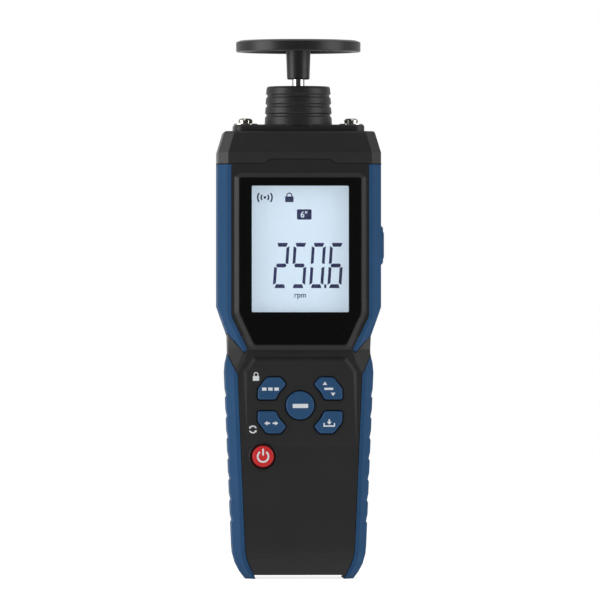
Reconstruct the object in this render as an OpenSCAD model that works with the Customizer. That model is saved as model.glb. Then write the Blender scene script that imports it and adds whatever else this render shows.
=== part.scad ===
// Contact tachometer: a waisted hand-held body, a ribbed nose and a surface-speed wheel on its spindle.
// X runs to the right, the display faces -Y and Z is up. The origin is on the spindle axis,
// level with the flat feet of the lower grips, on which the instrument stands.

/* [Body] */
// Half width of the head
head_half_w = 31.7; // [30.7:0.1:33.5]
// Front face of the head, ahead of the spindle axis
head_front = 17; // [16.4:0.1:18.5]
// Back face of the head, behind the spindle axis
head_back = 16.6; // [16:0.1:18.5]
// Front face of the handle, ahead of the spindle axis
handle_front = 15.2; // [14.8:0.1:15.9]
// Back face of the handle, behind the spindle axis
handle_back = 13.6; // [13.4:0.1:15.4]
// Half width of the handle at the top of the lower grips
handle_half_w = 28.8; // [28.2:0.1:30]
// Half width of the handle just above its rounded end
foot_half_w = 26; // [25.6:0.1:27.5]
// Half width of the waist
waist_half_w = 27.7; // [27.2:0.1:28.6]
// Height of the middle of the waist above the feet
waist_z = 90.8; // [88:0.1:96]
// Height of the straight waist band
waist_h = 7; // [6:0.1:8]
// Height of the sloping shoulder above the waist
shoulder_h = 11.3; // [10:0.1:12.5]
// Height from the middle of the waist to the seam of the cap
head_h = 70.5; // [70:0.1:76]
// Radius of the rounded end of the handle, seen from the front
foot_r = 19.4; // [17:0.1:24]
// Height at which the rounded end meets the straight flank
foot_arc_h = 13; // [10:0.1:15]
// Gap between the underside of the case and the surface it stands on
foot_drop = 1.5; // [1:0.1:2.2]
// Wall of the case at the front
front_wall = 2.2; // [1.8:0.1:2.4]
// Wall of the case at the back and the sides
case_wall = 2; // [1.6:0.1:2.2]
// Plane where the front and rear case meet, behind the spindle axis
split_y = 2; // [1:0.1:2.5]

/* [Grips] */
// Thickness of the soft grips
grip_t = 2.4; // [1.8:0.1:2.6]
// Width of an upper grip on the front face
upper_face_w = 5.3; // [4.8:0.1:6]
// Width of a lower grip on the front face
lower_face_w = 4.9; // [4.4:0.1:5.4]
// Width of the facet beside the front face
facet_w = 1.9; // [1.5:0.1:2.2]
// Drop of that facet
facet_drop = 0.7; // [0.5:0.1:0.9]
// Half width of the front face at the tips of the claws
claw_half_w = 20; // [19.4:0.1:21]
// Pitch of the scallops along the lower grips
scallop_pitch = 8.1; // [7:0.1:9]
// Depth of a scallop
scallop_depth = 0.45; // [0.2:0.05:0.7]
// Number of scallops on each lower grip
scallop_count = 7; // [5:1:8]

/* [Cap and nose] */
// Height of the head cap
cap_h = 12.6; // [11.5:0.1:14]
// Height of the straight skirt of the cap
cap_skirt_h = 4.3; // [3.5:0.1:5]
// How far the cap narrows on each side
cap_taper = 2.4; // [1.8:0.1:3]
// Half width of the flange of the nose
flange_half_w = 25.4; // [24.8:0.1:26]
// Half depth of the flange
flange_half_d = 12.6; // [12:0.1:13.6]
// Thickness of the flange
flange_t = 2.6; // [2.2:0.1:3.2]
// Height of the ribbed nose above its flange
nose_h = 15; // [14.6:0.1:18]
// Radius of the nose at its top
nose_top_r = 12.4; // [11.8:0.1:12.9]
// Radius of the nose at its foot
nose_foot_r = 13.2; // [12.8:0.1:14]
// Number of ribs on the nose
rib_count = 4; // [3:1:5]
// Depth of the grooves between the ribs
groove_depth = 0.5; // [0.3:0.05:0.7]
// Distance of the two nose screws from the spindle axis
nose_screw_x = 20.6; // [19.8:0.1:21]

/* [Spindle and wheel] */
// Radius of the spindle
shaft_r = 2.5; // [2.4:0.05:2.6]
// Length of bare spindle between the nose and the wheel hub
shaft_show = 2.75; // [2.2:0.05:4]
// Radius of the wheel
wheel_r = 24.25; // [23:0.05:27]
// Width of the wheel rim
rim_h = 4.5; // [4:0.1:6]
// Depth of the wheel hub below the rim
hub_h = 10.65; // [9:0.05:13]
// Radius of the hub at its open end
hub_end_r = 4.4; // [4.2:0.05:4.8]
// Radius of the hub under the rim
hub_root_r = 4.8; // [4.6:0.05:5.4]
// Depth of the shallow recess on each face of the wheel
web_recess = 0.5; // [0.3:0.05:0.8]
// Outer radius of the two ball bearings
bearing_r = 6.5; // [6.4:0.05:6.9]
// Width of each ball bearing
bearing_w = 4; // [3.6:0.1:4.4]
// Radius of a bearing ball
ball_r = 1; // [0.9:0.05:1.05]
// Number of balls in each bearing
ball_count = 7; // [5:1:8]
// Radius of the slotted encoder disc
disc_r = 9.5; // [9:0.1:10]
// Number of slots in the encoder disc
slot_count = 24; // [12:1:30]

/* [Display] */
// Half width of the display lens
lens_half_w = 23.7; // [23.2:0.1:24]
// Half width of the lower edge of the lens
lens_foot_half_w = 17.9; // [17:0.1:18.6]
// Height of the cut lower corners of the lens
lens_corner_h = 12.6; // [11.6:0.1:13.4]
// Distance from the lens to the seam of the cap
lens_top_gap = 5.5; // [5:0.1:6]
// Thickness of the lens
lens_t = 1.5; // [1.2:0.1:1.8]
// Height of the display frame above the front face
frame_rise = 1.4; // [1.2:0.1:1.7]
// Width of the bevel round the display frame
frame_bevel = 1.9; // [1.5:0.1:2.1]
// Half width of the glass of the liquid crystal panel
lcd_half_w = 20.6; // [20.2:0.1:20.8]
// Thickness of that glass
lcd_t = 2.2; // [1.8:0.1:2.4]
// Thickness of the backlight plate
light_t = 2.4; // [2:0.1:2.8]

/* [Keys] */
// Distance from the middle of the waist down to the middle of the key cluster
key_cluster_drop = 23.4; // [23:0.1:24.5]
// Radius of the round middle key
centre_key_r = 5.5; // [5:0.1:5.6]
// Half width of the key cluster
cluster_half_w = 16.4; // [16.2:0.1:17]
// Half height of the key cluster
cluster_half_h = 10.9; // [10.7:0.1:11.4]
// Radius of the power key
power_key_r = 4.15; // [3.8:0.05:4.4]
// Distance of the power key to the left of the middle
power_key_x = 14.4; // [14:0.1:15]
// Distance of the power key below the middle of the cluster
power_key_drop = 19.8; // [19.4:0.1:21]
// Gap all round a key
key_gap = 0.4; // [0.3:0.05:0.45]
// Height of the keys above the handle face
key_rise = 1.5; // [1.3:0.1:1.9]
// Travel of a key
key_travel = 0.9; // [0.6:0.1:1]
// Height of the side button
button_h = 10.8; // [9.6:0.1:12]
// Width of the side button
button_w = 7.6; // [7:0.1:8]
// Height of the side button above the grip
button_rise = 1.35; // [1.1:0.05:1.6]
// Travel of the side button
button_travel = 0.5; // [0.3:0.1:0.5]

/* [Battery bay] */
// Diameter of a cell
cell_d = 10.5; // [10.2:0.1:10.6]
// Length of a cell
cell_len = 44.5; // [43:0.1:45]
// Length of a compressed contact spring
spring_len = 4.5; // [4.2:0.1:5]
// Height of the lower end of the bay above the feet
bay_z = 14; // [13.6:0.1:15.5]
// Thickness of the battery door
door_t = 1.8; // [1.6:0.1:2]

/* [Boards and fasteners] */
// Thickness of the main board
board_t = 1.6; // [1.2:0.1:1.8]
// Thickness of the small sensor board
sensor_board_t = 1.2; // [1:0.1:1.4]
// Radius of a case screw
case_screw_r = 1.25; // [1.1:0.05:1.35]
// Radius of a nose screw
nose_screw_r = 1.5; // [1.4:0.05:1.6]
// Radius of the tapped hole of the tripod insert
tripod_r = 2.6; // [2.5:0.05:2.7]
// Depth of that hole
tripod_depth = 8; // [7:0.1:8.4]

/* [Hidden] */

// Colours
black_plastic = [0.18, 0.18, 0.18];
cap_plastic = [0.16, 0.16, 0.16];
grip_blue = [0.18, 0.31, 0.46];
key_blue = [0.14, 0.31, 0.46];
key_red = [0.84, 0.18, 0.18];
lens_black = [0.05, 0.05, 0.06];
steel = [0.75, 0.76, 0.78];
brass = [0.78, 0.65, 0.35];
board_green = [0.1, 0.35, 0.2];
clear_panel = [0.79, 0.85, 0.92];

// Clearances and shared overrun for cuts
cut = 1;
fit_gap = 0.05;
running_gap = 0.03;
seat_gap = 0.1;
mould_gap = 0.2;
round_fn = 64;
small_fn = 32;

// Levels of the body, from the feet up
waist_low = waist_z - waist_h / 2;
waist_high = waist_z + waist_h / 2;
shoulder_z = waist_high + shoulder_h;
seam_z = waist_z + head_h;
cap_top = seam_z + cap_h;
flange_top = cap_top + flange_t;
nose_top = flange_top + nose_h;
hub_z = nose_top + shaft_show;
rim_z = hub_z + hub_h;
wheel_top = rim_z + rim_h;
head_flat = head_half_w - upper_face_w;

// Case: walls of the screw bosses, the lugs of the cap between them, and the screws
boss_wall = 1.5;
top_screw_inset = 0.9;
waist_screw_inset = 9.9;
foot_screw_inset = 9;
foot_screw_drop = 5.6;
seat_depth = 7.6;
lug_t = 2.6;
lug_gap = 0.2;
case_screw_len = 15.4;
case_head_r = 2.4;
case_head_h = 1.8;
// Cap: its lip inside the case, its roof, the notch for the tongue and the nose inserts
lip_h = 2.6;
lip_t = 1.3;
cap_roof = 3;
cap_edge = 0.6;
cap_face_gain = 1.5;
tongue_half_w = 13.6;
tongue_rise = 1.7;
nose_insert_r = 2.3;
nose_insert_len = 5;
insert_boss_r = 3.6;
// Display: gasket, openings and the holder behind the glass
gasket_t = 0.8;
gasket_w = 1.4;
lens_round = 0.9;
window_lap = 1;
window_drop = 0.8;
window_top_gap = 2.2;
lcd_ledge = 2.6;
holder_wall = 0.9;
holder_floor = 1.4;
strip_t = 1.8;
// Keys: rounding, flanges, stems, contact pads and the mat
key_round = 0.8;
key_edge = 0.45;
key_flange_w = 0.7;
key_flange_t = 0.9;
key_stem_r = 2.3;
stem_gap = 0.35;
pad_t = 0.1;
mat_t = 0.7;
mat_margin = 0.6;
field_spread = 0.9;
field_drop = 1.1;
field_cut = 4;
field_bevel = 1.4;
field_rise = 0.7;
// Boards, posts and the parts on them
board_gap = 1.9;
board_waist_gap = 3;
board_low_gap = 0.1;
board_margin = 1;
board_neck_rise = 6;
post_r = 1.5;
board_screw_r = 0.8;
board_screw_head_r = 1.4;
board_screw_head_h = 1.1;
board_screw_len = 5;
processor_half = 5;
chip_t = 1.3;
chip_half_w = 3;
chip_half_h = 2;
capacitor_r = 2;
capacitor_h = 4.2;
// Side button and its switch
button_flange_t = 0.9;
button_flange_w = 0.8;
surround_rise = 0.9;
surround_margin = 2.4;
switch_y = 2;
switch_half_h = 3;
switch_w = 3.2;
switch_d = 3.6;
plunger_r = 0.9;
plunger_show = 1.2;
plunger_sink = 1.1;
// Nose: lip over the upper bearing, spigot in the cap and the screws
nose_lip = 1.7;
nose_edge = 0.8;
spigot_wall = 2;
spigot_len = 9;
groove_share = 0.3;
flange_corner_r = 5;
flange_edge = 0.5;
nose_head_r = 2.8;
nose_head_h = 1.3;
nose_screw_len = 9;
washer_r = 4.7;
washer_t = 0.5;
spring_washer_r = 2.7;
spring_washer_t = 0.8;
spring_washer_slit = 0.5;
// Bearings and the shaft
ball_gap = 0.06;
race_wall = 1.35;
cage_half_w = 0.35;
cage_half_h = 1.3;
circlip_t = 1;
circlip_w = 1.3;
spacer_wall = 0.8;
shaft_collar_w = 0.6;
shaft_tip_gap = 0.6;
shaft_chamfer = 0.4;
flat_depth = 0.5;
wheel_edge = 0.3;
wheel_rim_w = 3;
// Encoder and its sensor
disc_t = 0.4;
disc_drop = 1.4;
slot_w = 0.7;
slot_len = 2.2;
hub_flange_r = 5.2;
hub_flange_t = 1;
hub_sleeve_r = 4.4;
hub_sleeve_len = 6;
sensor_half_w = 3.2;
sensor_gap = 0.5;
sensor_slot_gap = 0.5;
sensor_arm = 2.2;
sensor_reach = 4;
sensor_web = 1.4;
sensor_board_half_w = 10;
sensor_board_drop = 13.4;
sensor_post_r = 1.9;
sensor_screw_len = 3;
ribbon_half_w = 3;
ribbon_t = 0.6;
// Battery bay, the door's tabs, springs and plates
bay_wall = 1.4;
cell_gap = 0.5;
nub_r = 1.9;
nub_h = 0.9;
plate_t = 0.5;
plate_half = 3.3;
tab_half_w = 1.6;
tab_reach = 1.6;
tab_t = 1.1;
tab_depth = 2.2;
spring_wire_r = 0.35;
spring_r = 3.1;
spring_tip_r = 2.3;
spring_turns = 3;
spring_steps = 12;
tag_half_w = 1;
tag_t = 0.4;
tag_rise = 3.4;
lead_r = 0.6;
grip_rib_pitch = 2.4;
thumb_half_w = 7;
// Tripod insert
tripod_rise = 14;
insert_r = 4.8;
insert_flange_r = 5.6;
insert_flange_t = 0.8;
insert_sink = 0.3;
insert_floor = 1;

// Claws of the upper grips: heights of their inner corners and the rounding of their tips
claw_drop = 1.8;
claw_run = 13.1;
claw_tip_run = 1.4;
claw_tip_drop = 1.6;
claw_tip_r = 1.1;
// How far the outlines of the grips stay from the corners of the waist
waist_step = 0.3;
claw_z = waist_z - claw_drop;
claw_corner_z = claw_z + claw_run;
// Upper points of the lower grips
point_drop = 7;
point_run = 1.2;
grip_top_z = waist_low - point_drop;
// Slopes of the chamfered flanks, depth over width
flank_slope = 1;
back_slope = 0.9;
// Share of the foot rounding that also draws the front and back in
foot_draw_share = 0.4;
foot_steps = 5;

function mix(a, b, t) = a + (b - a) * t;
// Half width of the handle at a height, with its rounded end as an arc
function handle_w(z) =
    z < foot_arc_h
        ? foot_half_w - foot_r + sqrt(foot_r * foot_r - (foot_arc_h - z) * (foot_arc_h - z))
        : mix(foot_half_w, handle_half_w, (z - foot_arc_h) / (grip_top_z - foot_arc_h));
function shoulder_w(z) = mix(waist_half_w, head_half_w, (z - waist_high) / shoulder_h);
function claw_flat(z) = mix(claw_half_w, head_flat, (z - claw_z) / claw_run);

// One station of the body: height, half width, half width of the front face, front, back
function handle_station(z) =
    let (w = handle_w(z), drawn = (foot_half_w - min(w, foot_half_w)) * foot_draw_share)
    [z, w, w - lower_face_w, handle_front - drawn, handle_back - drawn];
stations = concat(
    [for (k = [0:foot_steps]) handle_station(foot_arc_h * k / foot_steps)],
    [handle_station(grip_top_z),
    [mix(grip_top_z, waist_low, 0.5), mix(handle_half_w, waist_half_w, 0.25),
        mix(handle_half_w - lower_face_w, claw_half_w, 0.5), handle_front, handle_back],
    [waist_low, waist_half_w, claw_half_w + facet_drop, handle_front, handle_back],
    [claw_z, waist_half_w, claw_half_w, handle_front, handle_back],
    [waist_high, waist_half_w, claw_flat(waist_high), head_front, mix(handle_back, head_back, 0.5)],
    [claw_corner_z, shoulder_w(claw_corner_z), head_flat, head_front, head_back],
    [shoulder_z, head_half_w, head_flat, head_front, head_back],
    [seam_z, head_half_w, head_flat, head_front, head_back]]);
top_station = stations[len(stations) - 1];
function raised(s, dz) = [s[0] + dz, s[1], s[2], s[3], s[4]];

// Closed ring of points at one station, with its flanks, front and back drawn in
function form_ring(s, flank, front, back) =
    let (f = sqrt(1 + flank_slope * flank_slope), b = sqrt(1 + back_slope * back_slope))
    let (ax = s[2] + (front - flank * f) / flank_slope, cx = s[1] - flank)
    let (cy = -s[3] + (cx - s[2]) * flank_slope + flank * f)
    let (ex = s[2] + (back - flank * b) / back_slope, dy = s[4] - (cx - s[2]) * back_slope - flank * b)
    [[-ax, -s[3] + front, s[0]], [ax, -s[3] + front, s[0]], [cx, cy, s[0]], [cx, dy, s[0]],
        [ex, s[4] - back, s[0]], [-ex, s[4] - back, s[0]], [-cx, dy, s[0]], [-cx, cy, s[0]]];

// Outer ring of the body, which has a second facet beside the front face; dent draws the flanks in
function outer_ring(s, dent) =
    let (by = -s[3] + facet_drop, cy = -s[3] + (s[1] - s[2]) * flank_slope)
    let (dy = s[4] - (s[1] - s[2]) * back_slope, w = s[1] - dent)
    [[-s[2], -s[3], s[0]], [s[2], -s[3], s[0]], [s[2] + facet_w, by, s[0]], [w, cy, s[0]],
        [w, dy, s[0]], [s[2], s[4], s[0]], [-s[2], s[4], s[0]], [-w, dy, s[0]], [-w, cy, s[0]],
        [-s[2] - facet_w, by, s[0]]];

// Solid through a list of rings that all have the same number of points
module loft(rings) {
    n = len(rings[0]);
    m = len(rings);
    polyhedron(
        points = [for (ring = rings) each ring],
        faces = concat(
            [[for (i = [0:n - 1]) i]],
            [[for (i = [n - 1:-1:0]) (m - 1) * n + i]],
            [for (k = [0:m - 2]) for (i = [0:n - 1])
                [k * n + i, (k + 1) * n + i, (k + 1) * n + (i + 1) % n]],
            [for (k = [0:m - 2]) for (i = [0:n - 1])
                [k * n + i, (k + 1) * n + (i + 1) % n, k * n + (i + 1) % n]]));
}

// Outline with each corner rounded by a short curve that starts r from the corner
function toward(a, b, r) = a + (b - a) * min(r / norm(b - a), 0.48);
function bend(a, c, b, t) = (1 - t) * (1 - t) * a + 2 * (1 - t) * t * c + t * t * b;
function rounded(points, r, steps) =
    let (n = len(points))
    [for (i = [0:n - 1])
        let (a = toward(points[i], points[(i + n - 1) % n], r))
        let (b = toward(points[i], points[(i + 1) % n], r))
        for (k = [0:steps]) bend(a, points[i], b, k / steps)];
// Outline drawn in by a distance, for outlines that turn left
function unit_normal(a, b) = [(b - a)[1], -(b - a)[0]] / norm(b - a);
function inset(points, d) =
    let (n = len(points))
    [for (i = [0:n - 1])
        let (p = points[i], u = unit_normal(points[(i + n - 1) % n], p))
        let (v = unit_normal(p, points[(i + 1) % n]))
        p - d * (u + v) / (1 + u * v)];
// Ring of a front-view outline at a depth, and the outline's mirror images
function ring_at(points, y) = [for (p = points) [p[0], y, p[1]]];
function mirror_x(points) = [for (i = [len(points) - 1:-1:0]) [-points[i][0], points[i][1]]];
function mirror_z(points) = [for (i = [len(points) - 1:-1:0]) [points[i][0], -points[i][1]]];
function moved(points, d) = [for (p = points) p + d];

// Extrusion of a front-view outline from one depth to another
module slab(y_front, y_back) {
    translate([0, y_back, 0])
        rotate([90, 0, 0])
            linear_extrude(height = y_back - y_front)
                children();
}
module rod_y(x, z, r, y_front, y_back) {
    translate([x, y_back, z])
        rotate([90, 0, 0])
            cylinder(r = r, h = y_back - y_front, $fn = small_fn);
}
module rod_z(x, y, r, z_low, z_high) {
    translate([x, y, z_low])
        cylinder(r = r, h = z_high - z_low, $fn = small_fn);
}
module tube_z(r_out, r_in, z_low, z_high) {
    difference() {
        translate([0, 0, z_low])
            cylinder(r = r_out, h = z_high - z_low, $fn = round_fn);
        translate([0, 0, z_low - cut])
            cylinder(r = r_in, h = z_high - z_low + 2 * cut, $fn = round_fn);
    }
}
// Block between two corners, and one that is the same on both sides of the middle plane
module block(low, high) {
    translate(low)
        cube(high - low);
}
module centred_block(half_w, y_front, y_back, z_low, z_high) {
    block([-half_w, y_front, z_low], [half_w, y_back, z_high]);
}
module rounded_rect(half_w, half_h, r) {
    square([2 * (half_w - r), 2 * half_h], center = true);
    square([2 * half_w, 2 * (half_h - r)], center = true);
    for (sx = [-1, 1])
        for (sy = [-1, 1])
            translate([sx * (half_w - r), sy * (half_h - r)])
                circle(r = r, $fn = small_fn);
}
module both_sides() {
    children();
    mirror([1, 0, 0])
        children();
}
// Round wire or cable along a list of points
function wire_ring(p, d, r, sides) =
    let (t = d / norm(d), u = cross(t, abs(t[2]) < 0.9 ? [0, 0, 1] : [1, 0, 0]))
    let (a = u / norm(u), b = cross(t, a))
    [for (i = [0:sides - 1]) p + r * (a * cos(360 * i / sides) + b * sin(360 * i / sides))];
module wire(points, r, sides) {
    n = len(points);
    loft([for (i = [0:n - 1])
        wire_ring(points[i], points[min(i + 1, n - 1)] - points[max(i - 1, 0)], r, sides)]);
}

// Body forms
outer_half = head_half_w + cut;
window_half = head_half_w + claw_run;
front_limit = -head_front - cut;
back_limit = head_back + cut;
flank_inset = grip_t + case_wall;
module outer_form() {
    loft([for (s = stations) outer_ring(s, 0)]);
}
// The body under the grips, without its foot, which the grips wrap
module core_form(depth) {
    intersection() {
        loft([for (s = stations) form_ring(s, depth, depth, depth)]);
        centred_block(outer_half, front_limit, back_limit, foot_drop - grip_t + depth, seam_z);
    }
}
// The hollow inside the case, open at the seam of the cap
module cavity_form() {
    difference() {
        loft([for (s = concat(stations, [raised(top_station, cut)]))
            form_ring(s, flank_inset, front_wall, case_wall)]);
        centred_block(outer_half, front_limit, back_limit, -cut, foot_drop + case_wall);
    }
}

// Front-view outlines of the right-hand grips; the left ones are mirrored
claw_tip = [claw_half_w + claw_tip_run, claw_z - claw_tip_drop];
claw_slope = (waist_high + waist_step - claw_tip[1]) / (waist_half_w - claw_tip[0]);
upper_outline = rounded([[head_flat, claw_corner_z], [claw_half_w, claw_z], claw_tip,
    [window_half, claw_tip[1] + (window_half - claw_tip[0]) * claw_slope],
    [window_half, cap_top], [head_flat, cap_top]], claw_tip_r, 3);
lower_corner = [handle_half_w - lower_face_w + point_run, grip_top_z + point_run];
lower_slope = (waist_low - waist_step - lower_corner[1]) / (waist_half_w - lower_corner[0]);
lower_outline = concat(
    [[handle_half_w - lower_face_w, grip_top_z - facet_drop]],
    [for (k = [foot_steps:-1:1]) let (z = foot_arc_h * k / foot_steps) [handle_w(z) - lower_face_w, z]],
    [[handle_w(0) - lower_face_w + facet_drop, -cut], [outer_half, -cut],
    [outer_half, lower_corner[1] + (outer_half - lower_corner[0]) * lower_slope], lower_corner]);
module grip_window(outline, gap) {
    slab(front_limit, back_limit)
        polygon(inset(outline, gap));
}
module grip_pockets() {
    difference() {
        both_sides() {
            grip_window(upper_outline, 0);
            grip_window(lower_outline, 0);
        }
        core_form(grip_t);
    }
}

// Places of the case screws, seen from the front
boss_r = case_screw_r + 1.5 * fit_gap + boss_wall;
top_screw = [head_half_w - flank_inset - boss_r - top_screw_inset, seam_z - boss_r - seat_gap];
waist_screw = [waist_half_w - waist_screw_inset, waist_z - fit_gap];
foot_screw = [foot_half_w - foot_screw_inset, bay_z - foot_screw_drop];
case_screw_places = [top_screw, waist_screw, foot_screw];
screw_seat = split_y + seat_depth;
lug_front = split_y - lug_t - lug_gap;

// Display, front to back
frame_front = -head_front - frame_rise;
lens_back = frame_front + lens_t;
ledge_back = -head_front + front_wall;
lcd_front = ledge_back + gasket_t;
light_front = lcd_front + lcd_t;
light_back = light_front + light_t;
board_front = light_back + holder_floor;
board_back = board_front + board_t;
lens_top = seam_z - lens_top_gap;
lens_corner_z = waist_z + lens_corner_h;
lens_outline = [[-lens_foot_half_w, waist_z], [lens_foot_half_w, waist_z], [lens_half_w, lens_corner_z],
    [lens_half_w, lens_top], [-lens_half_w, lens_top], [-lens_half_w, lens_corner_z]];
lens_curve = rounded(lens_outline, lens_round, 3);
window_half_w = lcd_half_w - window_lap;
window_low = lens_corner_z - window_drop;
window_high = lens_top - window_top_gap;
lcd_low = window_low - lcd_ledge;
lcd_high = window_high + window_lap;
holder_half_w = lcd_half_w + fit_gap + holder_wall;
holder_low = lcd_low - fit_gap - holder_wall;
holder_high = lcd_high + fit_gap + holder_wall;

// Keys
key_mid_z = waist_z - key_cluster_drop;
power_z = key_mid_z - power_key_drop;
key_front = -handle_front - key_rise;
key_back = board_front - pad_t - key_travel - fit_gap;
key_flange_front = -handle_front + front_wall + seat_gap;
// Upper left key as shares of the half width and half height of the cluster
key_shares = [[-1, 0.206], [-0.579, 0.206], [-0.506, 0.44], [-0.329, 0.752], [-0.463, 1], [-0.787, 1],
    [-1, 0.587]];
key_stem_shares = [-0.69, 0.6];
upper_left = [for (s = key_shares) [s[0] * cluster_half_w, s[1] * cluster_half_h]];
key_stem = [key_stem_shares[0] * cluster_half_w, key_stem_shares[1] * cluster_half_h];
stem_places = [for (sx = [1, -1]) for (sz = [1, -1]) [sx * key_stem[0], key_mid_z + sz * key_stem[1]]];
round_places = [[0, key_mid_z], [-power_key_x, power_z]];

// Main board and its posts
board_half_w = head_half_w - flank_inset - board_gap;
board_waist_half_w = waist_half_w - flank_inset - board_waist_gap;
board_low_half_w = foot_half_w - flank_inset + board_low_gap;
board_top = holder_high - lcd_ledge / 2;
board_low = power_z - power_key_r - board_margin;
board_neck = waist_z + board_neck_rise;
board_posts = [[holder_half_w + post_r + seat_gap, mix(holder_low, holder_high, 0.8)],
    [board_low_half_w - post_r, power_z + board_margin * 4]];
board_outline = [[-board_low_half_w, board_low], [board_low_half_w, board_low],
    [board_low_half_w, grip_top_z], [board_waist_half_w, waist_low], [board_waist_half_w, board_neck],
    [board_half_w, board_neck + shoulder_h], [board_half_w, board_top], [-board_half_w, board_top],
    [-board_half_w, board_neck + shoulder_h], [-board_waist_half_w, board_neck],
    [-board_waist_half_w, waist_low], [-board_low_half_w, grip_top_z]];

// Side button on the right-hand upper grip
button_z = mix(shoulder_z, seam_z, 0.43);
button_y = board_back + switch_y;
button_face = head_half_w + button_rise;
wall_inside = head_half_w - flank_inset;
button_flange_x = wall_inside - seat_gap - button_flange_t;
switch_face = button_flange_x - plunger_show;

// Nose and spindle, from the top down
upper_bearing_top = nose_top - nose_lip;
upper_bearing_z = upper_bearing_top - bearing_w;
spigot_r = bearing_r + spigot_wall;
spigot_end = cap_top - spigot_len;
lower_bearing_z = spigot_end + 2 * circlip_t;
lower_bearing_top = lower_bearing_z + bearing_w;
pitch_r = (shaft_r + bearing_r) / 2;
groove_r = ball_r + ball_gap;
shaft_collar_r = shaft_r + shaft_collar_w;
disc_z = top_screw[1] - disc_drop;
shaft_end = disc_z - disc_drop;
shaft_tip = rim_z - shaft_tip_gap;

// Optical sensor round the rim of the disc
sensor_back = disc_r + sensor_gap + sensor_web;
sensor_board_back = sensor_back + sensor_board_t;
sensor_board_low = disc_z - sensor_board_drop;
sensor_board_high = disc_z + sensor_arm;
sensor_post = [sensor_board_half_w - sensor_post_r, sensor_board_low + sensor_post_r];

// Battery bay, from the door inwards
handle_back_inner = handle_back - case_wall;
door_inner = handle_back - door_t;
cell_r = cell_d / 2;
cell_y = door_inner - cell_gap - cell_r;
bay_floor = cell_y - cell_r - seat_gap;
cell_pitch = cell_d + cell_gap;
bay_half_w = 1.5 * cell_pitch + seat_gap;
bay_top = bay_z + cell_len + spring_len + 2 * plate_t + 2 * fit_gap;
door_half_w = bay_half_w + bay_wall - mould_gap;
door_low = bay_z - bay_wall + mould_gap;
door_high = bay_top + bay_wall;
tab_x = cell_pitch / 2;
low_plate = bay_z + plate_t;
high_plate = bay_top - plate_t;
cell_z = [low_plate + spring_len + fit_gap, low_plate + fit_gap, low_plate + spring_len + fit_gap];
tag_y = cell_y - plate_half;

// Tripod insert in the back, and the nose inserts in the cap
tripod_z = waist_high + tripod_rise;
insert_back = head_back - insert_sink;
insert_front = insert_back - tripod_depth - insert_floor;

// Case halves: the body outside the pockets of the grips
module case_body() {
    difference() {
        outer_form();
        centred_block(outer_half, front_limit, back_limit, -cut, foot_drop);
        grip_pockets();
    }
}
// Tongue of the front case that rises into the notch of the cap
tongue_outline = [[tongue_half_w, -cut], [tongue_half_w, 0], [tongue_half_w - tongue_rise, tongue_rise],
    [tongue_rise - tongue_half_w, tongue_rise], [-tongue_half_w, 0], [-tongue_half_w, -cut]];
module cap_tongue(gap) {
    slab(-head_front - gap, ledge_back + gap)
        translate([0, seam_z])
            polygon(inset(tongue_outline, -gap));
}
module display_frame() {
    loft([ring_at(inset(lens_curve, -frame_bevel), -head_front + front_wall / 2),
        ring_at(inset(lens_curve, -frame_bevel), -head_front - fit_gap),
        ring_at(inset(lens_curve, -mould_gap), frame_front)]);
}
// Raised field round the keys, which fades into the handle near the power key
field_half_w = foot_half_w - lower_face_w + field_spread;
field_top = waist_low - field_drop;
field_low = power_z + power_key_r;
field_outline = [[-field_half_w, field_low], [field_half_w, field_low],
    [field_half_w, field_top - field_cut * 1.4], [field_half_w - field_cut, field_top],
    [field_cut - field_half_w, field_top], [-field_half_w, field_top - field_cut * 1.4]];
function field_front(z) = -handle_front - field_rise * (z - field_low) / (field_top - field_low) - fit_gap;
module key_field() {
    loft([ring_at(field_outline, -handle_front + front_wall / 2),
        ring_at(field_outline, -handle_front - fit_gap / 2),
        [for (p = inset(field_outline, field_bevel)) [p[0], field_front(p[1]), p[1]]]]);
}
function key_outline(sx, sz) =
    let (flat = sx > 0 ? upper_left : mirror_x(upper_left))
    moved(rounded(sz > 0 ? flat : mirror_z(flat), key_round, 3), [0, key_mid_z]);
module key_holes() {
    slab(front_limit, board_front) {
        for (sx = [1, -1])
            for (sz = [1, -1])
                polygon(inset(key_outline(sx, sz), -key_gap));
        translate(round_places[0])
            circle(r = centre_key_r + key_gap, $fn = round_fn);
        translate(round_places[1])
            circle(r = power_key_r + key_gap, $fn = round_fn);
    }
    rod_y(-power_key_x, power_z, power_key_r + key_flange_w + mould_gap, key_flange_front - seat_gap,
        board_front);
}
module button_prism(grow, x_low, x_high) {
    translate([x_low, button_y, button_z])
        rotate([90, 0, 90])
            linear_extrude(height = x_high - x_low)
                rounded_rect(button_w / 2 + grow, button_h / 2 + grow, button_w / 4);
}
module front_bosses() {
    both_sides() {
        rod_y(top_screw[0], top_screw[1], boss_r, front_limit, lug_front - lug_gap);
        for (p = [waist_screw, foot_screw])
            rod_y(p[0], p[1], boss_r, front_limit, split_y);
        for (p = board_posts)
            rod_y(p[0], p[1], post_r, front_limit, board_front);
    }
}
module front_case() {
    color(black_plastic)
        difference() {
            union() {
                intersection() {
                    case_body();
                    centred_block(outer_half, front_limit, split_y, -cut, seam_z);
                }
                display_frame();
                key_field();
                cap_tongue(0);
            }
            difference() {
                cavity_form();
                front_bosses();
            }
            slab(frame_front - cut, lens_back)
                polygon(inset(lens_curve, -fit_gap));
            centred_block(window_half_w, frame_front, ledge_back + cut, window_low, window_high);
            key_holes();
            button_prism(mould_gap, wall_inside - cut, outer_half);
            both_sides() {
                for (p = case_screw_places)
                    rod_y(p[0], p[1], case_screw_r + fit_gap, screw_seat - case_screw_len - mould_gap,
                        split_y + cut);
                for (p = board_posts)
                    rod_y(p[0], p[1], board_screw_r + fit_gap, board_back - board_screw_len - mould_gap,
                        board_front + cut);
            }
        }
}
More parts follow.
